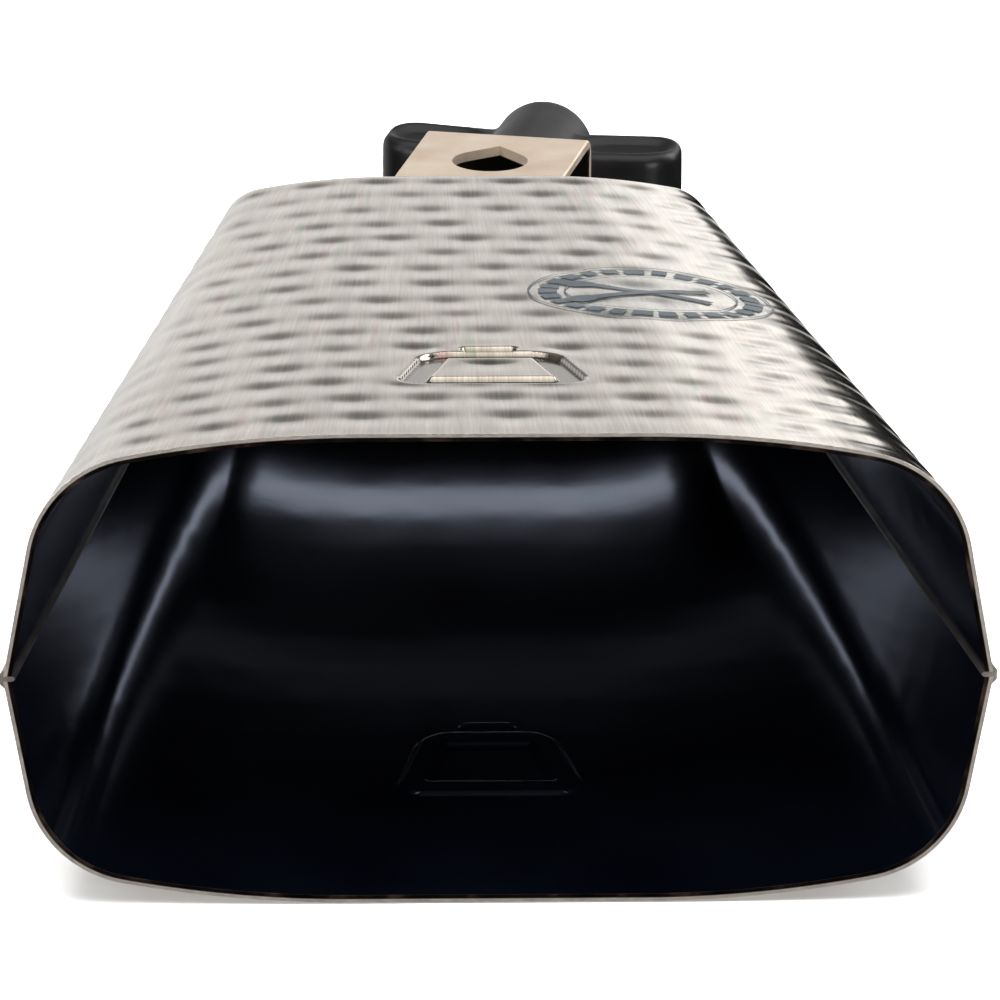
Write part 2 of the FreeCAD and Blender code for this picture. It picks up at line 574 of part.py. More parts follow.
upperShell, upperBlock = makeShell("upper_shell", "rise")
lowerShell, _ = makeShell("lower_shell", "drop")
dressFlat(lowerShell, "lower_shell")
pieces = {
    "upper_shell": (upperShell, bellPlace),
    "lower_shell": (lowerShell, bellPlace * turnedOver),
    "left_seam_weld": (makeSideWeld("left_seam_weld", -1), bellPlace),
    "right_seam_weld": (makeSideWeld("right_seam_weld", 1), bellPlace),
    "end_seam_weld": (makeEndWeld("end_seam_weld"), bellPlace),
    "clamp_bracket": (makeBracket("clamp_bracket"), axisPlace),
    "upper_bracket_weld": (makeBracketWeld("upper_bracket_weld", 1), clampPlace),
    "lower_bracket_weld": (makeBracketWeld("lower_bracket_weld", -1), clampPlace),
    "eye_bolt": (makeEyeBolt("eye_bolt"), axisPlace),
    "clamp_washer": (makeWasher("clamp_washer"), axisPlace),
    "wing_nut_body": (makeWingNut("wing_nut_body"), axisPlace),
    "wing_nut_insert": (makeInsert("wing_nut_insert"), axisPlace),
    "round_badge": (makeBadge("round_badge", upperBlock), bellPlace),
}
for piece, place in pieces.values():
    piece.Placement = place
doc.recompute()

for item in doc.Objects:
    if "Invalid" in item.State or "Error" in item.State:
        raise RuntimeError(f"{item.Label} did not recompute: {item.State}")
for label, (piece, _) in pieces.items():
    if piece.Shape.isNull() or not piece.Shape.isValid() or not piece.Shape.Solids:
        raise RuntimeError(f"{label} has no valid solid")

for label, (piece, _) in pieces.items():
    piece.Shape.exportStep(f"parts/{label}.step")
    box = piece.Shape.BoundBox
    print(f"{label}: {piece.Shape.Volume:.1f} mm3, x {box.XMin:.2f}..{box.XMax:.2f},"
          f" y {box.YMin:.2f}..{box.YMax:.2f}, z {box.ZMin:.2f}..{box.ZMax:.2f}")
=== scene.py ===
import json
import math
import random

import bmesh
import bpy
from mathutils import Matrix, Vector


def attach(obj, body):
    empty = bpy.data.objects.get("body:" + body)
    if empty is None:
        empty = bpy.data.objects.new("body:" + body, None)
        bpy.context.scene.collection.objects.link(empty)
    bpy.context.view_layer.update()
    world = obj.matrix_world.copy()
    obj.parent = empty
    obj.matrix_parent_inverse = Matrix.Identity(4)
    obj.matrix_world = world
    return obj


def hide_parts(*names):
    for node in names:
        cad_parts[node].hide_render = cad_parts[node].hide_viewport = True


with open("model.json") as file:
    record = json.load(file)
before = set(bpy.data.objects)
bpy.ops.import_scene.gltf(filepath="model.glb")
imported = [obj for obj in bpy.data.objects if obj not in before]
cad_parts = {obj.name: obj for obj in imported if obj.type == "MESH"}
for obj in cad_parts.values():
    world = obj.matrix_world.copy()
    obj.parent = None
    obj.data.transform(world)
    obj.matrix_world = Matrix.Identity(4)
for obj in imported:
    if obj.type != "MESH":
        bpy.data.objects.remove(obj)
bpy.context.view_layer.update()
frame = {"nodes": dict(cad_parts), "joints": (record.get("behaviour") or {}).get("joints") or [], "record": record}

mm = 0.001
degree = math.pi / 180


# shared helpers

def fromHex(code):
    parts = [int(code[i:i + 2], 16) / 255 for i in (1, 3, 5)]
    linear = [c / 12.92 if c <= 0.04045 else ((c + 0.055) / 1.055) ** 2.4 for c in parts]
    return (*linear, 1.0)


def addNode(tree, kind, inputs=None, stops=(), **settings):
    node = tree.nodes.new(kind)
    for name, value in settings.items():
        setattr(node, name, value)
    for index, (position, color) in enumerate(stops):
        elements = node.color_ramp.elements
        element = elements[index] if index < len(elements) else elements.new(position)
        element.position, element.color = position, color
    for name, value in (inputs or {}).items():
        if isinstance(value, bpy.types.NodeSocket):
            tree.links.new(value, node.inputs[name])
        else:
            node.inputs[name].default_value = value
    return node


def newMaterial(name):
    material = bpy.data.materials.new(name)
    material.use_nodes = True
    tree = material.node_tree
    shader = tree.nodes["Principled BSDF"]
    return material, tree, shader


def grey(value):
    return (value, value, value, 1.0)


def finishPiece(bm, name, body, materials, replaced=()):
    mesh = bpy.data.meshes.new(name)
    bm.to_mesh(mesh)
    bm.free()
    for face in mesh.polygons:
        face.use_smooth = True
    piece = bpy.data.objects.new(name, mesh)
    bpy.context.scene.collection.objects.link(piece)
    for material in materials:
        mesh.materials.append(material)
    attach(piece, body)
    if replaced:
        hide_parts(*replaced)
    return piece


# where things are: the bell's own frame and the clamp's frame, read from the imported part

record = frame["record"]
rodMount = next(m for m in record["mounts"] if m["name"] == "rod_clamp")
nutJoint = next(j for j in frame["joints"] if j["name"] == "wing_nut_turn")
bellUp = Vector(rodMount["axis"]).normalized()
fall = math.atan2(bellUp.y, bellUp.z)              # the bell's axis dips by this towards its closed end

bell = {
    "length": 203 * mm, "wall": 1.25 * mm, "seamGap": 0.4 * mm, "endRound": 3.6 * mm,
    "sideDraft": 10.35 * degree, "shoulderSweep": 11 * degree,
    "mouth": {"width": 74.4 * mm, "rise": 38.4 * mm, "drop": 36.1 * mm,
              "shoulder": 183 * mm, "corner": 18.2 * mm},
    "end": {"width": 42.6 * mm, "rise": 19.4 * mm, "drop": 19.4 * mm,
            "shoulder": 114 * mm, "corner": 7.3 * mm},
    "restStation": 100 * mm, "restDepth": 0.02 * mm,
}
lowerFace = bell["mouth"]["drop"] - bell["restDepth"] - bell["restStation"] * math.tan(fall)
toRest = Matrix.Rotation(-fall, 4, "X")
bellPlace = Matrix.Translation(-(toRest @ Vector((0, bell["restStation"], -lowerFace)))) @ toRest

boltAxis = -Vector(nutJoint["axis"]).normalized()
nutFoot = Vector(nutJoint["pos_m"])
clampPlace = Matrix((boltAxis.cross(bellUp), boltAxis, bellUp)).transposed().to_4x4()
clampPlace.translation = nutFoot                   # origin at the wing nut's foot, Y out along the bolt


# the shell's surface: a half section that tapers along the bell

def outlineAt(side, station, inset=0.0):
    share = station / bell["length"]

    def along(name):
        return bell["mouth"][name] + (bell["end"][name] - bell["mouth"][name]) * share

    draft, sweep = bell["sideDraft"], bell["shoulderSweep"]
    width = along("width") - inset / math.cos(draft)
    height = along(side) - inset
    shoulder = along("shoulder") - inset
    corner = along("corner") - inset
    cornerUp = height - shoulder * (1 - math.cos(sweep)) - corner * math.cos(sweep)
    sideTop = cornerUp + corner * math.sin(draft)
    cornerAcross = width - (sideTop - bell["seamGap"]) * math.tan(draft) - corner * math.cos(draft)
    flat = cornerAcross - (shoulder - corner) * math.sin(sweep)
    ends = [flat, flat + shoulder * sweep]
    ends.append(ends[1] + corner * (math.pi / 2 - sweep - draft))
    ends.append(ends[2] + (sideTop - bell["seamGap"]) / math.cos(draft))
    return {"height": height, "shoulder": shoulder, "corner": corner, "flat": flat,
            "cornerAcross": cornerAcross, "cornerUp": cornerUp, "sideTop": sideTop, "ends": ends}


def pointOn(outline, reach):
    # position and outward normal, in the section's plane, at a distance along the outline
    sign = -1 if reach < 0 else 1
    reach = abs(reach)
    draft, sweep = bell["sideDraft"], bell["shoulderSweep"]
    flatEnd, shoulderEnd, cornerEnd = outline["ends"][:3]
    if reach <= flatEnd:
        across, up, lean = reach, outline["height"], 0.0
    elif reach <= shoulderEnd:
        lean = (reach - flatEnd) / outline["shoulder"]
        across = outline["flat"] + outline["shoulder"] * math.sin(lean)
        up = outline["height"] - outline["shoulder"] * (1 - math.cos(lean))
    elif reach <= cornerEnd:
        lean = sweep + (reach - shoulderEnd) / outline["corner"]
        across = outline["cornerAcross"] + outline["corner"] * math.sin(lean)
        up = outline["cornerUp"] + outline["corner"] * math.cos(lean)
    else:
        lean = math.pi / 2 - draft
        down = reach - cornerEnd
        across = outline["cornerAcross"] + outline["corner"] * math.cos(draft) + down * math.sin(draft)
        up = outline["sideTop"] - down * math.cos(draft)
    return Vector((sign * across, 0, up)), Vector((sign * math.sin(lean), 0, math.cos(lean)))


# hammer marks and the pressed bell mark

hammering = {"rowPitch": 12.2 * mm, "firstRow": 11.5 * mm, "pitch": 11 * mm, "depth": 0.30 * mm,
             "spread": 2.6 * mm, "roundness": 0.96, "jitterAcross": 0.54 * mm, "jitterAlong": 0.45 * mm,
             "bow": 400 * mm, "eachSide": 12, "lightest": 0.75, "heaviest": 1.15, "seed": 5,
             "mouthClear": 1.5 * mm, "mouthFade": 5 * mm, "endClear": 8 * mm, "endFade": 6 * mm,
             "seamFade": 4 * mm}
pressedMark = {"station": 47 * mm, "nearHalf": 12.4 * mm, "farHalf": 8.4 * mm, "halfLength": 9.2 * mm,
               "stroke": 2.1 * mm, "depth": 0.85 * mm, "wall": 0.35 * mm, "clear": 4.5 * mm,
               "rounding": 2.5 * mm, "barHalf": 3.2 * mm, "barGap": 4.2 * mm, "barThick": 0.6 * mm,
               "barRounding": 0.9 * mm, "patch": {"near": 13 * mm, "far": 17 * mm, "half": 16.5 * mm}}


def layDents(seed):
    rng = random.Random(seed)
    rows = []
    station = hammering["firstRow"]
    while station < bell["length"] - hammering["endClear"]:
        start = rng.uniform(-0.5, 0.5) * hammering["pitch"]
        row = []
        for step in range(-hammering["eachSide"], hammering["eachSide"] + 1):
            reach = start + step * hammering["pitch"] + rng.gauss(0, hammering["jitterAcross"])
            bow = reach * reach / (2 * hammering["bow"])
            along = station - bow + rng.gauss(0, hammering["jitterAlong"])
            row.append((reach, along, rng.uniform(hammering["lightest"], hammering["heaviest"])))
        rows.append(row)
        station += hammering["rowPitch"]
    return rows


def markDistance(reach, station):
    # signed distance to the stroke of a bell-shaped outline with a short bar above it
    y = station - pressedMark["station"]
    half = pressedMark["halfLength"]
    share = (y + half) / (2 * half)
    edge = pressedMark["nearHalf"] + (pressedMark["farHalf"] - pressedMark["nearHalf"]) * share
    slant = math.hypot(1, (pressedMark["nearHalf"] - pressedMark["farHalf"]) / (2 * half))
    rounding = pressedMark["rounding"]
    dx = (abs(reach) - edge) / slant + rounding
    dy = abs(y) - half + rounding
    frameLine = math.hypot(max(dx, 0), max(dy, 0)) + min(max(dx, dy), 0) - rounding
    frameLine = abs(frameLine) - pressedMark["stroke"]
    bx = abs(reach) - pressedMark["barHalf"]
    by = abs(y - half - pressedMark["barGap"]) - pressedMark["barThick"]
    bar = math.hypot(max(bx, 0), max(by, 0)) + min(max(bx, by), 0) - pressedMark["barRounding"]
    return min(frameLine, bar)


def smoothStep(value):
    value = min(max(value, 0.0), 1.0)
    return value * value * (3 - 2 * value)


def dentAt(rows, reach, station):
    # how deep in the hammer marks of the nearest rows a point lies: each is a round, soft-edged hollow
    total = 0.0
    middle = int(round((station - hammering["firstRow"]) / hammering["rowPitch"]))
    for index in range(middle - 1, middle + 3):
        if not 0 <= index < len(rows):
            continue
        for centre, along, strength in rows[index]:
            dx = (reach - centre) / hammering["spread"]
            if abs(dx) < 3:
                dy = (station - along) / (hammering["spread"] * hammering["roundness"])
                total += strength * math.exp(-0.5 * (dx * dx + dy * dy))
    return total * smoothStep((station - hammering["mouthClear"]) / hammering["mouthFade"])


def pressAt(rows, reach, station):
    # how deep a point lies in the hammer marks and in the pressed mark, each as a share of its full depth
    dent = dentAt(rows, reach, station)
    distance = markDistance(reach, station)
    dent *= smoothStep(distance / pressedMark["clear"])
    pressed = 1 - smoothStep((distance + pressedMark["wall"]) / (2 * pressedMark["wall"]))
    return dent, pressed


def facePoint(side, rows, reach, station):
    # a point on the hammered face, and the smooth face's normal there
    point, normal = pointOn(outlineAt(side, station), reach)
    dent, pressed = pressAt(rows, reach, station)
    point.y = station
    return point - normal * (dent * hammering["depth"] + pressed * pressedMark["depth"]), normal


def reachAcross(outline, across):
    # distance along the outline of the point that lies above a place across the face
    flatEnd, shoulderEnd = outline["ends"][:2]
    shoulderAcross = outline["flat"] + outline["shoulder"] * math.sin(bell["shoulderSweep"])
    if across <= outline["flat"]:
        return across
    if across <= shoulderAcross:
        return flatEnd + outline["shoulder"] * math.asin((across - outline["flat"]) / outline["shoulder"])
    lean = math.asin(min((across - outline["cornerAcross"]) / outline["corner"], 1.0))
    return shoulderEnd + outline["corner"] * (lean - bell["shoulderSweep"])


shellMesh = {"across": 150, "along": 150, "round": 7, "end": 12, "markCuts": 3, "innerDents": 0.08,
             "rimRound": 0.5 * mm, "rimSegments": 5, "rimAngle": 70 * degree}


def laySkin(bm, side, rows, inset, dentShare, material):
    # one skin of the shell, added to the bmesh: a grid with its own UV layout, wrapped onto the outline
    skin = bmesh.new()
    skin.loops.layers.uv.new("surface")
    dentLayer = skin.verts.layers.float.new("dent")
    pressLayer = skin.verts.layers.float.new("pressed")
    total = shellMesh["along"] + shellMesh["round"] + shellMesh["end"]
    bmesh.ops.create_grid(skin, x_segments=shellMesh["across"], y_segments=total, size=1, calc_uvs=True)
    straight = bell["length"] - bell["endRound"]
    middle = outlineAt(side, pressedMark["station"], inset)["ends"][3]

    def rowOf(station):
        return station / straight * shellMesh["along"] / total * 2 - 1

    # the pressed mark needs a finer mesh than the rest of the face
    patch = pressedMark["patch"]
    low = rowOf(pressedMark["station"] - patch["near"])
    high = rowOf(pressedMark["station"] + patch["far"])
    wide = patch["half"] / middle
    fine = [edge for edge in skin.edges
            if all(low < v.co.y < high and abs(v.co.x) < wide for v in edge.verts)]
    bmesh.ops.subdivide_edges(skin, edges=fine, cuts=shellMesh["markCuts"], use_grid_fill=True)

    cache = {}
    for vert in skin.verts:
        share, row = vert.co.x, (vert.co.y + 1) / 2 * total
        if row <= shellMesh["along"]:
            station = row / shellMesh["along"] * straight
            if station not in cache:
                cache[station] = outlineAt(side, station, inset)
            reach = share * cache[station]["ends"][3]
            point, normal = pointOn(cache[station], reach)
            dent, pressed = pressAt(rows, reach, station)
            fade = smoothStep((1 - abs(share)) * cache[station]["ends"][3] / hammering["seamFade"])
            fade *= smoothStep((straight - station) / hammering["endFade"])
            vert[dentLayer], vert[pressLayer] = dent * fade, pressed
            push = dent * hammering["depth"] * dentShare * fade + pressed * pressedMark["depth"]
            vert.co = point - normal * push
            vert.co.y = station
            continue
        turn = min((row - shellMesh["along"]) / shellMesh["round"], 1.0) * math.pi / 2
        bend = bell["endRound"] - inset
        outline = outlineAt(side, straight + bend * math.sin(turn), inset + bend * (1 - math.cos(turn)))
        point, normal = pointOn(outline, share * outline["ends"][3])
        toSeam = max(row - shellMesh["along"] - shellMesh["round"], 0) / shellMesh["end"]
        point.z += (bell["seamGap"] - point.z) * toSeam
        point.y = straight + bend * math.sin(turn)
        vert.co = point
    for face in skin.faces:
        face.material_index = material
    bmesh.ops.remove_doubles(skin, verts=skin.verts, dist=0.02 * mm)
    mesh = bpy.data.meshes.new("skin")
    skin.to_mesh(mesh)
    skin.free()
    bm.from_mesh(mesh)
    bpy.data.meshes.remove(mesh)


def closeRim(bm):
    # joins the two skins along the mouth, both side seams and the end seam, one stretch at a time
    near = 0.01 * mm
    skinEnds = (bell["length"], bell["length"] - bell["wall"])
    stretches = {"mouth": [], "end": [], "left": [], "right": []}
    for edge in bm.edges:
        if not edge.is_boundary:
            continue
        points = [vert.co for vert in edge.verts]
        if all(point.y < near for point in points):
            stretches["mouth"].append(edge)
        elif any(all(abs(point.y - end) < near for point in points) for end in skinEnds):
            stretches["end"].append(edge)
        else:
            stretches["left" if points[0].x < 0 else "right"].append(edge)
    layout = bm.loops.layers.uv["surface"]
    outer = {vert for face in bm.faces if face.material_index == 0 for vert in face.verts}
    for edges in stretches.values():
        for face in bmesh.ops.bridge_loops(bm, edges=edges)["faces"]:
            face.material_index = 2
            for loop in face.loops:
                loop[layout].uv = (0.5, 1.0 if loop.vert in outer else 0.0)
    bmesh.ops.remove_doubles(bm, verts=bm.verts, dist=near)


def buildShell(name, side, rows, place, materials, node):
    bm = bmesh.new()
    laySkin(bm, side, rows, 0.0, 1.0, 0)
    # the sheet hides most of each hammer mark from the inside, and the lacquer fills the rest
    laySkin(bm, side, rows, bell["wall"], shellMesh["innerDents"], 1)
    closeRim(bm)
    bmesh.ops.recalc_face_normals(bm, faces=bm.faces)
    bmesh.ops.transform(bm, matrix=place, verts=bm.verts)
    # the lowest hammer marks are dressed flat where the bell rests
    for vert in bm.verts:
        vert.co.z = max(vert.co.z, 0.0)
    shell = finishPiece(bm, name, "bell", materials, (node,))
    edge = shell.modifiers.new("rim", "BEVEL")
    edge.width = shellMesh["rimRound"]
    edge.segments = shellMesh["rimSegments"]
    edge.limit_method = "ANGLE"
    edge.angle_limit = shellMesh["rimAngle"]
    edge.harden_normals = True


# clear round badge on the upper face, with its print: a ring, a band of bars and two crossed drumsticks

badge = {"across": 27 * mm, "station": 104 * mm, "radius": 20 * mm, "film": 0.1 * mm, "lift": 0.05 * mm,
         "ring": 13.6 * mm, "line": 0.3 * mm, "bars": 26, "barInner": 15.0 * mm, "barOuter": 18.0 * mm,
         "barShares": (0.30, 0.42, 0.36), "stick": 10.5 * mm, "stickHalf": 1.05 * mm, "cross": 27 * degree,
         "bead": (3.0 * mm, 1.8 * mm), "inkLift": 0.02 * mm, "rings": 28, "turns": 96, "barRings": 3,
         "barTurns": 5}


def layOnFace(bm, rows, lift):
    # wraps flat work, drawn about the badge's centre, onto the hammered upper face
    for vert in bm.verts:
        station = badge["station"] + vert.co.y
        reach = reachAcross(outlineAt("rise", station), badge["across"] + vert.co.x)
        point, normal = facePoint("rise", rows, reach, station)
        vert.co = point + normal * (lift + vert.co.z)
    bmesh.ops.transform(bm, matrix=bellPlace, verts=bm.verts)


def makeBadge(rows):
    film = bmesh.new()
    rings = badge["rings"]
    spoke = [film.verts.new((badge["radius"] * step / rings, 0, 0)) for step in range(rings + 1)]
    edges = [film.edges.new(pair) for pair in zip(spoke, spoke[1:])]
    bmesh.ops.spin(film, geom=spoke + edges, axis=(0, 0, 1), cent=(0, 0, 0), angle=2 * math.pi,
                   steps=badge["turns"], use_merge=True)
    bmesh.ops.remove_doubles(film, verts=film.verts, dist=0.01 * mm)
    bmesh.ops.recalc_face_normals(film, faces=film.faces)
    if next(iter(film.faces)).normal.z < 0:
        bmesh.ops.reverse_faces(film, faces=film.faces)
    layOnFace(film, rows, badge["lift"])
    piece = finishPiece(film, "round_badge_film", "bell", [makeClearFilm()], ("round_badge",))
    body = piece.modifiers.new("film", "SOLIDIFY")
    body.thickness = badge["film"]
    body.offset = 1

    ink = bmesh.new()
    for inner in (badge["ring"], badge["radius"] - 2 * badge["line"]):
        ends = [ink.verts.new((inner, 0, 0)), ink.verts.new((inner + badge["line"], 0, 0))]
        bmesh.ops.spin(ink, geom=ends + [ink.edges.new(ends)], axis=(0, 0, 1), cent=(0, 0, 0),
                       angle=2 * math.pi, steps=badge["turns"], use_merge=True)
    barRings = badge["barRings"]
    for index in range(badge["bars"]):
        halfTurn = badge["barShares"][index % 3] * 2 * math.pi / badge["bars"]
        reach = badge["barOuter"] - badge["barInner"]
        ends = [ink.verts.new((badge["barInner"] + step * reach / barRings, 0, 0))
                for step in range(barRings + 1)]
        line = [ink.edges.new(pair) for pair in zip(ends, ends[1:])]
        turn = Matrix.Rotation(index * 2 * math.pi / badge["bars"] - halfTurn, 3, "Z")
        bmesh.ops.rotate(ink, verts=ends, cent=(0, 0, 0), matrix=turn)
        bmesh.ops.spin(ink, geom=ends + line, axis=(0, 0, 1), cent=(0, 0, 0), angle=2 * halfTurn,
                       steps=badge["barTurns"])
    for side in (-1, 1):
        turn = Matrix.Rotation(side * badge["cross"], 4, "Z")
        length = Matrix.Diagonal((badge["stick"], badge["stickHalf"], 1, 1))
        # the second stick lies a hair above the first, so that the two never share a plane
        over = Matrix.Translation((0, 0, badge["inkLift"] * (side + 1)))
        bmesh.ops.create_grid(ink, x_segments=24, y_segments=2, size=1, matrix=over @ turn @ length)
        bead = over @ turn @ Matrix.Translation((-badge["stick"] - badge["bead"][0] * 0.7, 0, 0))
        bead = bead @ Matrix.Diagonal((*badge["bead"], 1, 1))
        bmesh.ops.create_circle(ink, cap_ends=True, cap_tris=True, segments=20, radius=1, matrix=bead)
    bmesh.ops.recalc_face_normals(ink, faces=ink.faces)
    bmesh.ops.reverse_faces(ink, faces=[face for face in ink.faces if face.normal.z < 0])
    layOnFace(ink, rows, badge["lift"] + badge["film"] + badge["inkLift"])
    finishPiece(ink, "round_badge_print", "bell", [makeScreenInk()])


# wing nut: one moulding, the wings blended into the hub and dished for the thumb

wingNut = {"foot": 9.0 * mm, "tip": 8.8 * mm, "dome": 4.4 * mm, "length": 32.5 * mm,
           "socket": 6.43 * mm, "socketDepth": 11.05 * mm, "bore": 5.0 * mm, "boreEnd": 29.5 * mm,
           "span": 52.5 * mm, "thick": 10.8 * mm, "depth": 15.0 * mm, "start": 7.5 * mm,
           "straight": 5.0 * mm, "lean": 2.5 * mm, "tipRound": 5.5 * mm, "edgeRound": 2.0 * mm,
           "voxel": 0.42 * mm, "dish": (8.4 * mm, 5.2 * mm), "dishAcross": 16.8 * mm, "dishDepth": 1.5 * mm,
           "dishSquareness": 2.6, "wingRoot": 1.2 * mm, "turns": 64, "relax": 7}


def makeWingNut(material):
    nut = wingNut
    bm = bmesh.new()
    # hub, dome and blind bore as one closed half section, turned about the bolt's axis
    section = [(nut["socket"], 0), (nut["foot"], 0)]
    section += [(nut["tip"] - nut["dome"] * (1 - math.cos(turn)),
                 nut["length"] - nut["dome"] * (1 - math.sin(turn)))
                for turn in [step * math.pi / 16 for step in range(8)]]
    section += [(0, nut["length"]), (0, nut["boreEnd"]), (nut["bore"], nut["boreEnd"]),
                (nut["bore"], nut["socketDepth"]), (nut["socket"], nut["socketDepth"])]
    verts = [bm.verts.new((across, along, 0)) for across, along in section]
    edges = [bm.edges.new(pair) for pair in zip(verts, verts[1:] + verts[:1])]
    bmesh.ops.spin(bm, geom=verts + edges, axis=(0, 1, 0), cent=(0, 0, 0), angle=2 * math.pi,
                   steps=nut["turns"], use_merge=True)
    bmesh.ops.remove_doubles(bm, verts=bm.verts, dist=0.01 * mm)
    bmesh.ops.recalc_face_normals(bm, faces=bm.faces)
    for side in (-1, 1):
        # each wing starts inside the hub's wall, clear of the bore
        wing = bmesh.new()
        inner, outer = nut["bore"] + nut["wingRoot"], nut["span"] / 2
        middle = Matrix.Translation((side * (inner + outer) / 2, nut["start"] + nut["depth"] / 2, 0))
        slab = Matrix.Diagonal((outer - inner, nut["depth"], nut["thick"], 1))
        bmesh.ops.create_cube(wing, size=1, matrix=middle @ slab)
        tips = [edge for edge in wing.edges
                if all(abs(abs(v.co.x) - outer) < 0.01 * mm for v in edge.verts)
                and abs(edge.verts[0].co.z - edge.verts[1].co.z) > mm]
        bmesh.ops.bevel(wing, geom=tips, offset=nut["tipRound"], affect="EDGES", segments=10, profile=0.5,
                        material=-1)
        longEdges = [edge for edge in wing.edges
                     if abs(edge.verts[0].co.z - edge.verts[1].co.z) < 0.01 * mm
                     and max(abs(v.co.x) for v in edge.verts) > inner + mm]
        bmesh.ops.bevel(wing, geom=longEdges, offset=nut["edgeRound"], affect="EDGES", segments=5,
                        profile=0.5, material=-1)
        for vert in wing.verts:
            out = max(abs(vert.co.x) - nut["straight"], 0) / (outer - nut["straight"])
            vert.co.y += nut["lean"] * out
        bmesh.ops.recalc_face_normals(wing, faces=wing.faces)
        part = bpy.data.meshes.new("wing")
        wing.to_mesh(part)
        wing.free()
        bm.from_mesh(part)
        bpy.data.meshes.remove(part)
    rough = bpy.data.meshes.new("wing_nut_rough")
    bm.to_mesh(rough)
    bm.free()
    blank = bpy.data.objects.new("wing_nut_rough", rough)
    bpy.context.scene.collection.objects.link(blank)
    remesh = blank.modifiers.new("skin", "REMESH")
    remesh.mode = "VOXEL"
    remesh.voxel_size = nut["voxel"]
    relax = blank.modifiers.new("relax", "SMOOTH")
    relax.factor = 0.5
    relax.iterations = nut["relax"]
    skin = bpy.data.meshes.new_from_object(blank.evaluated_get(bpy.context.evaluated_depsgraph_get()))
    bpy.data.objects.remove(blank)
    bm = bmesh.new()
    bm.from_mesh(skin)
    bpy.data.meshes.remove(skin)
    # the thumb dishes, one on each broad face of each wing
    for vert in bm.verts:
        if abs(vert.co.z) < nut["thick"] * 0.3 or abs(vert.co.x) < nut["foot"]:
            continue
        across = (abs(vert.co.x) - nut["dishAcross"]) / nut["dish"][0]
        lean = nut["lean"] * (abs(vert.co.x) - nut["straight"]) / (nut["span"] / 2 - nut["straight"])
        along = (vert.co.y - nut["start"] - nut["depth"] / 2 - lean) / nut["dish"][1]
        square = nut["dishSquareness"]
        reach = (abs(across) ** square + abs(along) ** square) ** (1 / square)
        deep = smoothStep((1.06 - reach) / 0.34) * (0.8 + 0.2 * smoothStep(1 - reach))
        vert.co.z -= math.copysign(nut["dishDepth"] * deep, vert.co.z)
    bmesh.ops.smooth_vert(bm, verts=bm.verts, factor=0.4, use_axis_x=True, use_axis_y=True, use_axis_z=True)
    bmesh.ops.transform(bm, matrix=clampPlace, verts=bm.verts)
    finishPiece(bm, "moulded_wing_nut", "wing_nut", [material], ("wing_nut_body",))


# eye bolt: a rolled thread on the shank and a thick eye that goes round the rod

eyeBolt = {"centre": -20.8 * mm, "inner": 7.0 * mm, "outer": 11.0 * mm, "height": 9.0 * mm, "round": 1.4 * mm,
           "core": 3.3 * mm, "crest": 3.93 * mm, "pitch": 1.25 * mm, "end": 21.95 * mm, "point": 1.2 * mm,
           "neck": 3.9 * mm, "threadFrom": -7.5 * mm, "ringTurns": 72, "shankTurns": 40, "threadTurns": 36,
           "sharpest": 35 * degree}


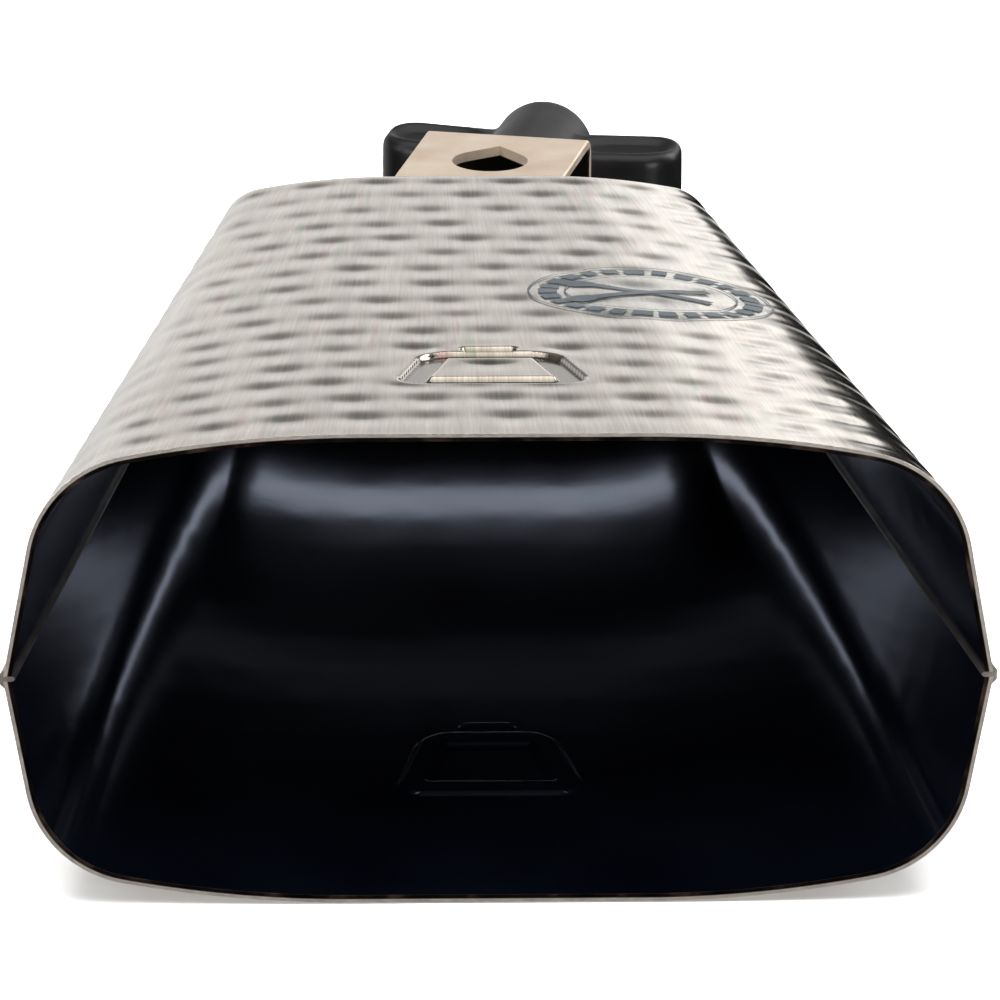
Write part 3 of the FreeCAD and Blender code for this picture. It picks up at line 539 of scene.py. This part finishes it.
def makeEyeBolt(material):
    bolt = eyeBolt
    bm = bmesh.new()
    # the eye: a rounded rectangle turned about the rod's axis
    ring = bmesh.ops.create_grid(bm, x_segments=1, y_segments=1, size=0.5)["verts"]
    wide = bolt["outer"] - bolt["inner"]
    middle = (bolt["outer"] + bolt["inner"]) / 2
    place = Matrix.Translation((middle, 0, 0)) @ Matrix.Rotation(math.pi / 2, 4, "X")
    bmesh.ops.transform(bm, matrix=place @ Matrix.Diagonal((wide, bolt["height"], 1, 1)), verts=ring)
    bmesh.ops.bevel(bm, geom=ring, offset=bolt["round"], affect="VERTICES", segments=5, profile=0.5,
                    material=-1)
    bmesh.ops.delete(bm, geom=list(bm.faces), context="FACES_ONLY")
    bmesh.ops.spin(bm, geom=list(bm.verts) + list(bm.edges), axis=(0, 0, 1), cent=(0, 0, 0),
                   angle=2 * math.pi, steps=bolt["ringTurns"], use_merge=True)
    bmesh.ops.translate(bm, verts=bm.verts, vec=(0, bolt["centre"], 0))
    # the shank: plain core with a chamfered point
    first = bolt["threadFrom"] + mm
    section = [(bolt["neck"], bolt["centre"] + middle), (bolt["neck"], bolt["threadFrom"]),
               (bolt["core"], first), (bolt["core"], bolt["end"] - bolt["point"]),
               (bolt["core"] - bolt["point"], bolt["end"]), (0, bolt["end"])]
    verts = [bm.verts.new((across, along, 0)) for across, along in section]
    edges = [bm.edges.new(pair) for pair in zip(verts, verts[1:])]
    bmesh.ops.spin(bm, geom=verts + edges, axis=(0, 1, 0), cent=(0, 0, 0), angle=2 * math.pi,
                   steps=bolt["shankTurns"], use_merge=True)
    # the thread: one ridge wound round the core
    turns = int((bolt["end"] - bolt["point"] - first) / bolt["pitch"])
    foot = bolt["core"] - 0.05 * mm
    ridge = [(foot, 0), (bolt["crest"], bolt["pitch"] * 0.42),
             (bolt["crest"], bolt["pitch"] * 0.55), (foot, bolt["pitch"] * 0.97)]
    verts = [bm.verts.new((across, first + along, 0)) for across, along in ridge]
    edges = [bm.edges.new(pair) for pair in zip(verts, verts[1:])]
    climb = bolt["pitch"] / bolt["threadTurns"]
    bmesh.ops.spin(bm, geom=verts + edges, axis=(0, -1, 0), cent=(0, 0, 0), dvec=(0, climb, 0),
                   angle=-2 * math.pi * turns, steps=bolt["threadTurns"] * turns)
    bmesh.ops.remove_doubles(bm, verts=bm.verts, dist=0.005 * mm)
    bmesh.ops.recalc_face_normals(bm, faces=bm.faces)
    bmesh.ops.transform(bm, matrix=clampPlace, verts=bm.verts)
    piece = finishPiece(bm, "threaded_eye_bolt", "eye_bolt", [material], ("eye_bolt",))
    crease = piece.modifiers.new("edges", "EDGE_SPLIT")
    crease.split_angle = bolt["sharpest"]


# finishes

# the brushing, with the sheet's size round and along one unit of its layout, and each pattern's own size
brushing = {"around": 154.8 * mm, "along": 225 * mm, "lines": (0.36 * mm, 15 * mm),
            "bands": (2.58 * mm, 75 * mm), "drifts": (1.72 * mm, 25 * mm), "patches": (30.96 * mm, 45 * mm)}


def brushScale(name):
    wide, long = brushing[name]
    return (brushing["around"] / wide, brushing["along"] / long, 1)


def makeBrushedNickel():
    # steel sheet with a satin nickel look, brushed along the bell after hammering: fine lines that fan
    # out with the taper, with painted shade darkening the hammer marks and the pressed mark
    material, tree, shader = newMaterial("BrushedNickelSteel")
    place = addNode(tree, "ShaderNodeUVMap", uv_map="surface").outputs["UV"]
    lines = addNode(tree, "ShaderNodeMapping", {"Vector": place,
                                                "Scale": brushScale("lines")}).outputs["Vector"]
    streak = addNode(tree, "ShaderNodeTexNoise", {"Vector": lines, "Scale": 1.0, "Detail": 3,
                                                  "Roughness": 0.6})
    bands = addNode(tree, "ShaderNodeMapping", {"Vector": place,
                                                "Scale": brushScale("bands")}).outputs["Vector"]
    broad = addNode(tree, "ShaderNodeTexNoise", {"Vector": bands, "Scale": 1.0, "Detail": 2})
    dent = addNode(tree, "ShaderNodeAttribute", attribute_name="dent").outputs["Fac"]
    pressed = addNode(tree, "ShaderNodeAttribute", attribute_name="pressed").outputs["Fac"]
    color = addNode(tree, "ShaderNodeValToRGB", {"Fac": streak.outputs["Fac"]},
                    stops=[(0.3, fromHex("#B4ADA4")), (0.7, fromHex("#D8D2C9"))]).outputs[0]
    tint = addNode(tree, "ShaderNodeValToRGB", {"Fac": broad.outputs["Fac"]},
                   stops=[(0.35, fromHex("#D9D3CC")), (0.65, fromHex("#F2EEE6"))]).outputs[0]
    color = addNode(tree, "ShaderNodeMix", {"Factor": 1.0, 6: color, 7: tint},
                    data_type="RGBA", blend_type="MULTIPLY").outputs[2]
    # faint heat colours of the plating, pink to green, in thin drifts along the brushing
    drifts = addNode(tree, "ShaderNodeMapping", {"Vector": place, "Scale": brushScale("drifts")})
    drifts = addNode(tree, "ShaderNodeTexNoise", {"Vector": drifts.outputs["Vector"], "Scale": 1.0,
                                                  "Detail": 2})
    hue = addNode(tree, "ShaderNodeValToRGB", {"Fac": drifts.outputs["Fac"]},
                  stops=[(0.36, fromHex("#D3E6D4")), (0.46, fromHex("#FFFFFF")), (0.54, fromHex("#FFFFFF")),
                         (0.64, fromHex("#EFD2D8"))]).outputs[0]
    patches = addNode(tree, "ShaderNodeMapping", {"Vector": place, "Scale": brushScale("patches")})
    patches = addNode(tree, "ShaderNodeTexNoise", {"Vector": patches.outputs["Vector"], "Scale": 1.0,
                                                   "Detail": 2})
    patches = addNode(tree, "ShaderNodeValToRGB", {"Fac": patches.outputs["Fac"]},
                      stops=[(0.5, grey(0)), (0.62, grey(0.75))]).outputs[0]
    color = addNode(tree, "ShaderNodeMix", {"Factor": patches, 6: color, 7: hue},
                    data_type="RGBA", blend_type="MULTIPLY").outputs[2]
    # painted shade: the colour darkens with the depth of each hammer mark
    shade = addNode(tree, "ShaderNodeValToRGB", {"Fac": dent},
                    stops=[(0.15, grey(1)), (0.95, grey(0.80))]).outputs[0]
    color = addNode(tree, "ShaderNodeMix", {"Factor": 1.0, 6: color, 7: shade},
                    data_type="RGBA", blend_type="MULTIPLY").outputs[2]
    # painted shade: the pressed mark's recess is darkened to stand for its shadow
    pressedMarkShade = addNode(tree, "ShaderNodeValToRGB", {"Fac": pressed},
                   stops=[(0.1, grey(1)), (0.9, grey(0.45))]).outputs[0]
    color = addNode(tree, "ShaderNodeMix", {"Factor": 1.0, 6: color, 7: pressedMarkShade},
                    data_type="RGBA", blend_type="MULTIPLY").outputs[2]
    tree.links.new(color, shader.inputs["Base Color"])
    rough = addNode(tree, "ShaderNodeMapRange", {"Value": streak.outputs["Fac"],
                                                 "To Min": 0.09, "To Max": 0.19})
    tree.links.new(rough.outputs["Result"], shader.inputs["Roughness"])
    shader.inputs["Metallic"].default_value = 1.0
    shader.inputs["Anisotropic"].default_value = 0.2
    tangent = addNode(tree, "ShaderNodeTangent", direction_type="UV_MAP", uv_map="surface")
    tree.links.new(tangent.outputs["Tangent"], shader.inputs["Tangent"])
    bump = addNode(tree, "ShaderNodeBump", {"Height": streak.outputs["Fac"],
                                            "Strength": 0.12, "Distance": 0.05 * mm})
    tree.links.new(bump.outputs["Normal"], shader.inputs["Normal"])
    return material


def makeBlackLacquer():
    # sprayed black lacquer inside the bell: glossy, with a blue cast and a slight orange peel
    material, tree, shader = newMaterial("BlackLacquer")
    place = addNode(tree, "ShaderNodeTexCoord").outputs["Object"]
    peel = addNode(tree, "ShaderNodeTexNoise", {"Vector": place, "Scale": 1 / (2.2 * mm), "Detail": 2})
    cloud = addNode(tree, "ShaderNodeTexNoise", {"Vector": place, "Scale": 1 / (30 * mm), "Detail": 3})
    color = addNode(tree, "ShaderNodeValToRGB", {"Fac": cloud.outputs["Fac"]},
                    stops=[(0.35, fromHex("#020308")), (0.7, fromHex("#05070E"))]).outputs[0]
    tree.links.new(color, shader.inputs["Base Color"])
    rough = addNode(tree, "ShaderNodeMapRange", {"Value": cloud.outputs["Fac"],
                                                 "To Min": 0.10, "To Max": 0.18})
    tree.links.new(rough.outputs["Result"], shader.inputs["Roughness"])
    shader.inputs["IOR"].default_value = 1.55
    bump = addNode(tree, "ShaderNodeBump", {"Height": peel.outputs["Fac"],
                                            "Strength": 0.2, "Distance": 0.03 * mm})
    tree.links.new(bump.outputs["Normal"], shader.inputs["Normal"])
    return material


def makeCutEdge():
    # the sheet's cut edge round the mouth: a dark line of lacquer, brown where it is thin, beside a bare steel
    # line painted near white as a highlight
    material, tree, shader = newMaterial("LacqueredSteelEdge")
    place = addNode(tree, "ShaderNodeTexCoord").outputs["Object"]
    grain = addNode(tree, "ShaderNodeTexNoise", {"Vector": place, "Scale": 1 / (0.7 * mm), "Detail": 4,
                                                 "Roughness": 0.7})
    patch = addNode(tree, "ShaderNodeTexNoise", {"Vector": place, "Scale": 1 / (6 * mm), "Detail": 3})
    color = addNode(tree, "ShaderNodeValToRGB", {"Fac": patch.outputs["Fac"]},
                    stops=[(0.35, fromHex("#0E0B0A")), (0.55, fromHex("#2A211C")),
                           (0.75, fromHex("#6E5A4E"))]).outputs[0]
    # the edge's outer part is bare steel coloured near white, partly a painted highlight line, and the lacquer
    # laps over the inner part
    layout = addNode(tree, "ShaderNodeUVMap", uv_map="surface").outputs["UV"]
    across = addNode(tree, "ShaderNodeSeparateXYZ", {"Vector": layout}).outputs["Y"]
    bareSteelHighlight = addNode(tree, "ShaderNodeMapRange", {"Value": across, "From Min": 0.48,
                                                "From Max": 0.56}).outputs[0]
    color = addNode(tree, "ShaderNodeMix", {"Factor": bareSteelHighlight, 6: color, 7: fromHex("#FFF4EA")},
                    data_type="RGBA").outputs[2]
    tree.links.new(color, shader.inputs["Base Color"])
    rough = addNode(tree, "ShaderNodeMapRange", {"Value": grain.outputs["Fac"],
                                                 "To Min": 0.22, "To Max": 0.5})
    tree.links.new(rough.outputs["Result"], shader.inputs["Roughness"])
    shader.inputs["Metallic"].default_value = 1.0
    bump = addNode(tree, "ShaderNodeBump", {"Height": grain.outputs["Fac"],
                                            "Strength": 0.5, "Distance": 0.12 * mm})
    tree.links.new(bump.outputs["Normal"], shader.inputs["Normal"])
    return material


def makePlainMetal(name, low, high, grainSize, roughLow, roughHigh, bumpHeight):
    # plated or machined metal: cloudy colour between two tones, and a grain of a given real size
    material, tree, shader = newMaterial(name)
    place = addNode(tree, "ShaderNodeTexCoord").outputs["Object"]
    grain = addNode(tree, "ShaderNodeTexNoise", {"Vector": place, "Scale": 1 / grainSize, "Detail": 4,
                                                 "Roughness": 0.65})
    cloud = addNode(tree, "ShaderNodeTexNoise", {"Vector": place, "Scale": 1 / (9 * mm), "Detail": 3})
    color = addNode(tree, "ShaderNodeValToRGB", {"Fac": cloud.outputs["Fac"]},
                    stops=[(0.3, fromHex(low)), (0.7, fromHex(high))]).outputs[0]
    tree.links.new(color, shader.inputs["Base Color"])
    rough = addNode(tree, "ShaderNodeMapRange", {"Value": grain.outputs["Fac"],
                                                 "To Min": roughLow, "To Max": roughHigh})
    tree.links.new(rough.outputs["Result"], shader.inputs["Roughness"])
    shader.inputs["Metallic"].default_value = 1.0
    bump = addNode(tree, "ShaderNodeBump", {"Height": grain.outputs["Fac"],
                                            "Strength": 0.3, "Distance": bumpHeight})
    tree.links.new(bump.outputs["Normal"], shader.inputs["Normal"])
    return material


strap = {"innerHalf": 10.35 * mm, "webInside": -3.55 * mm}     # where the strap's inside faces begin


def makeSatinNickel():
    # satin nickel on the strap: creamy, soft reflections drawn along the bends, and painted shade, near black, on
    # the inside faces
    material, tree, shader = newMaterial("SatinNickelPlate")
    place = addNode(tree, "ShaderNodeTexCoord").outputs["Object"]
    clamp = addNode(tree, "ShaderNodeMapping", {"Vector": place, "Location": nutFoot,
                                                "Rotation": clampPlace.to_euler()}, vector_type="TEXTURE")
    spread = addNode(tree, "ShaderNodeMapping", {"Vector": clamp.outputs["Vector"], "Scale": (1, 0.1, 1)})
    grain = addNode(tree, "ShaderNodeTexNoise", {"Vector": spread.outputs["Vector"], "Scale": 1 / (0.5 * mm),
                                                 "Detail": 4, "Roughness": 0.65})
    cloud = addNode(tree, "ShaderNodeTexNoise", {"Vector": place, "Scale": 1 / (9 * mm), "Detail": 3})
    color = addNode(tree, "ShaderNodeValToRGB", {"Fac": cloud.outputs["Fac"]},
                    stops=[(0.3, fromHex("#CDB9A4")), (0.7, fromHex("#DFCFBD"))]).outputs[0]
    parts = addNode(tree, "ShaderNodeSeparateXYZ", {"Vector": clamp.outputs["Vector"]}).outputs
    # painted shade: the strap's inside faces, between the legs and behind the web, are coloured near black
    height = addNode(tree, "ShaderNodeMath", {0: parts["Z"]}, operation="ABSOLUTE").outputs[0]
    between = addNode(tree, "ShaderNodeMath", {0: height, 1: strap["innerHalf"]}, operation="LESS_THAN")
    behind = addNode(tree, "ShaderNodeMath", {0: parts["Y"], 1: strap["webInside"]}, operation="LESS_THAN")
    paintedShadeInside = addNode(tree, "ShaderNodeMath", {0: between.outputs[0], 1: behind.outputs[0]},
                     operation="MULTIPLY")
    color = addNode(tree, "ShaderNodeMix", {"Factor": paintedShadeInside.outputs[0], 6: color, 7: fromHex("#14110F")},
                    data_type="RGBA").outputs[2]
    tree.links.new(color, shader.inputs["Base Color"])
    rough = addNode(tree, "ShaderNodeMapRange", {"Value": grain.outputs["Fac"],
                                                 "To Min": 0.40, "To Max": 0.56})
    tree.links.new(rough.outputs["Result"], shader.inputs["Roughness"])
    shader.inputs["Metallic"].default_value = 0.8
    bump = addNode(tree, "ShaderNodeBump", {"Height": grain.outputs["Fac"],
                                            "Strength": 0.3, "Distance": 0.03 * mm})
    tree.links.new(bump.outputs["Normal"], shader.inputs["Normal"])
    return material


def makeMouldedNylon():
    # glass-filled black nylon from a spark-eroded mould: fine even grain, satin, paler where fingers rub
    material, tree, shader = newMaterial("MouldedBlackNylon")
    place = addNode(tree, "ShaderNodeTexCoord").outputs["Object"]
    grain = addNode(tree, "ShaderNodeTexVoronoi", {"Vector": place, "Scale": 1 / (0.45 * mm)})
    cloud = addNode(tree, "ShaderNodeTexNoise", {"Vector": place, "Scale": 1 / (7 * mm), "Detail": 4})
    rub = addNode(tree, "ShaderNodeNewGeometry").outputs["Pointiness"]
    rub = addNode(tree, "ShaderNodeValToRGB", {"Fac": rub},
                  stops=[(0.52, grey(0)), (0.60, grey(0.6))]).outputs[0]
    color = addNode(tree, "ShaderNodeValToRGB", {"Fac": cloud.outputs["Fac"]},
                    stops=[(0.3, fromHex("#050506")), (0.75, fromHex("#0A0A0C"))]).outputs[0]
    color = addNode(tree, "ShaderNodeMix", {"Factor": rub, 6: color, 7: fromHex("#16181C")},
                    data_type="RGBA").outputs[2]
    tree.links.new(color, shader.inputs["Base Color"])
    rough = addNode(tree, "ShaderNodeMapRange", {"Value": cloud.outputs["Fac"],
                                                 "To Min": 0.34, "To Max": 0.50})
    tree.links.new(rough.outputs["Result"], shader.inputs["Roughness"])
    shader.inputs["IOR"].default_value = 1.38
    bump = addNode(tree, "ShaderNodeBump", {"Height": grain.outputs["Distance"],
                                            "Strength": 0.25, "Distance": 0.05 * mm})
    tree.links.new(bump.outputs["Normal"], shader.inputs["Normal"])
    return material


def makeClearFilm():
    # clear polyester film: nearly invisible but for its gloss and a faint milky haze
    material, tree, shader = newMaterial("ClearPolyesterFilm")
    place = addNode(tree, "ShaderNodeTexCoord").outputs["Object"]
    haze = addNode(tree, "ShaderNodeTexNoise", {"Vector": place, "Scale": 1 / (4 * mm), "Detail": 4})
    color = addNode(tree, "ShaderNodeValToRGB", {"Fac": haze.outputs["Fac"]},
                    stops=[(0.35, fromHex("#8F9496")), (0.7, fromHex("#A9ADAE"))]).outputs[0]
    tree.links.new(color, shader.inputs["Base Color"])
    rough = addNode(tree, "ShaderNodeMapRange", {"Value": haze.outputs["Fac"],
                                                 "To Min": 0.10, "To Max": 0.22})
    tree.links.new(rough.outputs["Result"], shader.inputs["Roughness"])
    cover = addNode(tree, "ShaderNodeMapRange", {"Value": haze.outputs["Fac"],
                                                 "To Min": 0.05, "To Max": 0.10})
    tree.links.new(cover.outputs["Result"], shader.inputs["Alpha"])
    shader.inputs["IOR"].default_value = 1.5
    bump = addNode(tree, "ShaderNodeBump", {"Height": haze.outputs["Fac"],
                                            "Strength": 0.1, "Distance": 0.05 * mm})
    tree.links.new(bump.outputs["Normal"], shader.inputs["Normal"])
    return material


def makeScreenInk():
    # screen-printed ink under the film: slate grey, thinner in places so the steel shows through
    material, tree, shader = newMaterial("SlateScreenInk")
    place = addNode(tree, "ShaderNodeTexCoord").outputs["Object"]
    mottle = addNode(tree, "ShaderNodeTexNoise", {"Vector": place, "Scale": 1 / (0.9 * mm), "Detail": 4})
    color = addNode(tree, "ShaderNodeValToRGB", {"Fac": mottle.outputs["Fac"]},
                    stops=[(0.3, fromHex("#262D32")), (0.7, fromHex("#3E464C"))]).outputs[0]
    tree.links.new(color, shader.inputs["Base Color"])
    rough = addNode(tree, "ShaderNodeMapRange", {"Value": mottle.outputs["Fac"],
                                                 "To Min": 0.3, "To Max": 0.5})
    tree.links.new(rough.outputs["Result"], shader.inputs["Roughness"])
    bump = addNode(tree, "ShaderNodeBump", {"Height": mottle.outputs["Fac"],
                                            "Strength": 0.1, "Distance": 0.02 * mm})
    tree.links.new(bump.outputs["Normal"], shader.inputs["Normal"])
    return material


brushedNickel = makeBrushedNickel()
blackLacquer = makeBlackLacquer()
cutEdge = makeCutEdge()
print("finishes ready")

upperDents = layDents(hammering["seed"])
lowerDents = layDents(hammering["seed"] + 1)
shellFinishes = [brushedNickel, blackLacquer, cutEdge]
buildShell("hammered_upper_shell", "rise", upperDents, bellPlace, shellFinishes, "upper_shell")
turnedOver = bellPlace @ Matrix.Rotation(math.pi, 4, "Y")
buildShell("hammered_lower_shell", "drop", lowerDents, turnedOver, shellFinishes, "lower_shell")
print("shells hammered")
makeBadge(upperDents)
print("badge laid on")

# carried-over fittings: their CAD shapes are right and get real finishes

satinNickel = makeSatinNickel()
blackOxide = makePlainMetal("BlackOxideSteel", "#1B1A1A", "#2B2A2A", 0.5 * mm, 0.3, 0.5, 0.03 * mm)
brightZinc = makePlainMetal("BrightZincPlate", "#A9AEB2", "#C8CCCE", 0.5 * mm, 0.2, 0.36, 0.03 * mm)
groundWeld = makePlainMetal("GroundWeld", "#A79C92", "#D2C9BF", 0.9 * mm, 0.28, 0.5, 0.12 * mm)
turnedBrass = makePlainMetal("TurnedBrass", "#A8824A", "#C9A468", 0.3 * mm, 0.22, 0.36, 0.02 * mm)
blackNylon = makeMouldedNylon()
nodeFinishes = {
    "clamp_bracket": satinNickel, "clamp_washer": brightZinc,
    "left_seam_weld": groundWeld, "right_seam_weld": groundWeld, "end_seam_weld": groundWeld,
    "upper_bracket_weld": groundWeld, "lower_bracket_weld": groundWeld,
    "wing_nut_insert": turnedBrass,
}
for node, material in nodeFinishes.items():
    carried = frame["nodes"][node]
    carried.data.materials.clear()
    carried.data.materials.append(material)
makeWingNut(blackNylon)
makeEyeBolt(blackOxide)
print("fittings finished")

# camera: level with a player's eye, looking into the mouth and along the upper face

view = {"distance": 1500 * mm, "pitch": 18.213 * degree, "yaw": -1.618 * degree, "roll": 0.257 * degree,
        "right": -0.154 * mm, "up": -26.55 * mm, "lens": 359.6, "sensor": 36.0}


def placeCamera():
    yaw, roll, pitch = view["yaw"], view["roll"], view["pitch"]
    right = Vector((math.cos(yaw) * math.cos(roll), math.sin(yaw), math.cos(yaw) * math.sin(roll)))
    forward = Vector((-math.sin(yaw) * math.cos(roll) * math.cos(pitch) + math.sin(roll) * math.sin(pitch),
                      math.cos(yaw) * math.cos(pitch),
                      -math.sin(yaw) * math.sin(roll) * math.cos(pitch) - math.cos(roll) * math.sin(pitch)))
    up = right.cross(forward).normalized()
    spot = -right * view["right"] - up * view["up"] - forward * view["distance"]
    turn = Matrix((right, up, -forward)).transposed().to_4x4()
    data = bpy.data.cameras.new("camera")
    data.lens = view["lens"]
    data.sensor_width = view["sensor"]
    data.clip_end = 20
    camera = bpy.data.objects.new("camera", data)
    camera.matrix_world = bellPlace @ (Matrix.Translation(spot) @ turn)
    bpy.context.scene.collection.objects.link(camera)
    bpy.context.scene.camera = camera


placeCamera()

# studio: pale floor, a shaded surround for the steel to mirror, and soft panels

studio = {
    "floor": 6.0, "floorColor": "#F6F6F6", "floorGap": 0.2 * mm,
    # each panel's place, what it points at, its width and height, and its power
    "panels": {
        "overhead": ((0.0, 0.1, 1.6), (0, 0, 0), 1.6, 1.6, 44),
        "left_panel": ((-1.4, -0.4, 0.8), (0, 0, 0.04), 0.9, 1.2, 10),
        "right_panel": ((1.2, 0.9, 0.7), (0, 0, 0.04), 0.7, 1.0, 12),
        "front_left": ((-0.9, -1.3, 0.35), (0, 0, 0.03), 0.5, 0.5, 14),
        "front_right": ((0.9, -1.3, 0.35), (0, 0, 0.03), 0.5, 0.5, 14),
    },
    "lamp": {"fromEnd": 6 * mm, "rise": 1 * mm, "wide": 60 * mm, "tall": 5 * mm, "power": 0.0018,
             "color": "#DCE6FF"},
}
surround = {
    "strength": 0.98, "cardLevel": 2.2,
    # brightness of the band by height
    "band": ((0.0, 0.6), (0.35, 1.0), (0.54, 1.0), (0.62, 0.40), (0.74, 0.13), (1.0, 0.30)),
    # which part of a direction each mask follows, from and to what, and its value at either end
    "masks": {
        "height": ("Z", -0.5, 0.5, 0, 1), "behind": ("Y", 0.1, 0.7, 0.03, 1),
        "flagBelow": ("Z", 0.01, -0.03, 0, 1), "flagRight": ("X", 0.09, 0.14, 0, 1),
        "brightRight": ("X", 0.05, 0.12, 1, 2), "tableGlow": ("Z", -0.55, -0.85, 0, 1),
        "cardForward": ("Y", 0.55, 0.4, 0, 1), "cardAbove": ("Z", 0.72, 0.85, 0, 1),
    },
}


def addPanel(name, spot, target, wide, tall, power, color="#FFFFFF"):
    data = bpy.data.lights.new(name, "AREA")
    data.shape = "RECTANGLE"
    data.size, data.size_y = wide, tall
    data.energy = power
    data.color = fromHex(color)[:3]
    panel = bpy.data.objects.new(name, data)
    look = (Vector(target) - Vector(spot)).to_track_quat("-Z", "Y")
    panel.matrix_world = Matrix.Translation(spot) @ look.to_matrix().to_4x4()
    panel.visible_camera = False
    bpy.context.scene.collection.objects.link(panel)
    return panel


def makeFloor():
    bm = bmesh.new()
    bmesh.ops.create_grid(bm, x_segments=2, y_segments=2, size=studio["floor"])
    mesh = bpy.data.meshes.new("floor")
    bm.to_mesh(mesh)
    bm.free()
    floor = bpy.data.objects.new("floor", mesh)
    bpy.context.scene.collection.objects.link(floor)
    # matt painted board: an even pale grey that only shows the bell's soft shadow
    material, _, shader = newMaterial("PaintedFloor")
    shader.inputs["Base Color"].default_value = fromHex(studio["floorColor"])
    shader.inputs["Roughness"].default_value = 0.9
    mesh.materials.append(material)
    floor.visible_glossy = False
    floor.location.z = -studio["floorGap"]


def makeSurround():
    # a bright band low down behind the bell, dim overhead and in front, with a dark flag low on the right
    world = bpy.data.worlds.new("surround")
    bpy.context.scene.world = world
    world.use_nodes = True
    tree = world.node_tree
    direction = addNode(tree, "ShaderNodeTexCoord").outputs["Generated"]
    parts = addNode(tree, "ShaderNodeSeparateXYZ", {"Vector": direction}).outputs

    masks = {}
    for name, (axis, start, end, low, high) in surround["masks"].items():
        masks[name] = addNode(tree, "ShaderNodeMapRange", {"Value": parts[axis], "From Min": start,
                                                           "From Max": end, "To Min": low,
                                                           "To Max": high}).outputs[0]
    band = addNode(tree, "ShaderNodeValToRGB", {"Fac": masks["height"]},
                   stops=[(place, grey(level)) for place, level in surround["band"]]).outputs[0]
    flag = addNode(tree, "ShaderNodeMath", {0: masks["flagBelow"], 1: masks["flagRight"]},
                   operation="MULTIPLY").outputs[0]
    clear = addNode(tree, "ShaderNodeMath", {0: 1.0, 1: flag}, operation="SUBTRACT").outputs[0]
    glow = addNode(tree, "ShaderNodeMath", {0: masks["behind"], 1: clear}, operation="MULTIPLY").outputs[0]
    # the backdrop brightens towards its right edge, which lights the right shoulder
    glow = addNode(tree, "ShaderNodeMath", {0: glow, 1: masks["brightRight"]},
                   operation="MULTIPLY").outputs[0]
    color = addNode(tree, "ShaderNodeMix", {"Factor": 1.0, 6: band, 7: glow}, data_type="RGBA",
                    blend_type="MULTIPLY").outputs[2]
    # a high card over the mouth puts a bright line along the turned-over edge
    card = addNode(tree, "ShaderNodeMath", {0: masks["cardForward"], 1: masks["cardAbove"]},
                   operation="MULTIPLY").outputs[0]
    card = addNode(tree, "ShaderNodeMath", {0: card, 1: surround["cardLevel"]},
                   operation="MULTIPLY").outputs[0]
    card = addNode(tree, "ShaderNodeMath", {0: card, 1: masks["tableGlow"]}, operation="ADD").outputs[0]
    color = addNode(tree, "ShaderNodeMix", {"Factor": 1.0, 6: color, 7: card}, data_type="RGBA",
                    blend_type="ADD").outputs[2]
    back = tree.nodes["Background"]
    tree.links.new(color, back.inputs["Color"])
    back.inputs["Strength"].default_value = surround["strength"]
    # seen directly, the backdrop is plain white
    clean = addNode(tree, "ShaderNodeBackground", {"Color": grey(1.0), "Strength": 1.0})
    seen = addNode(tree, "ShaderNodeLightPath").outputs["Is Camera Ray"]
    mix = addNode(tree, "ShaderNodeMixShader", {0: seen, 1: back.outputs[0], 2: clean.outputs[0]})
    tree.links.new(mix.outputs[0], tree.nodes["World Output"].inputs["Surface"])


makeFloor()
makeSurround()
for name, layout in studio["panels"].items():
    panel = addPanel(name, *layout)
    if name == "overhead":
        panel.visible_glossy = False               # it lights the top without a glare on the steel
# a small lamp by the closed end's seam, inside, for the glints along the inner corners
lamp = studio["lamp"]
lampSpot = bellPlace @ Vector((0, bell["length"] - lamp["fromEnd"], lamp["rise"]))
lampTarget = bellPlace @ Vector((0, 0, 0))
addPanel("inner_lamp", lampSpot, lampTarget, lamp["wide"], lamp["tall"], lamp["power"], lamp["color"])
bpy.context.scene.view_settings.view_transform = "Standard"
print("studio lit")
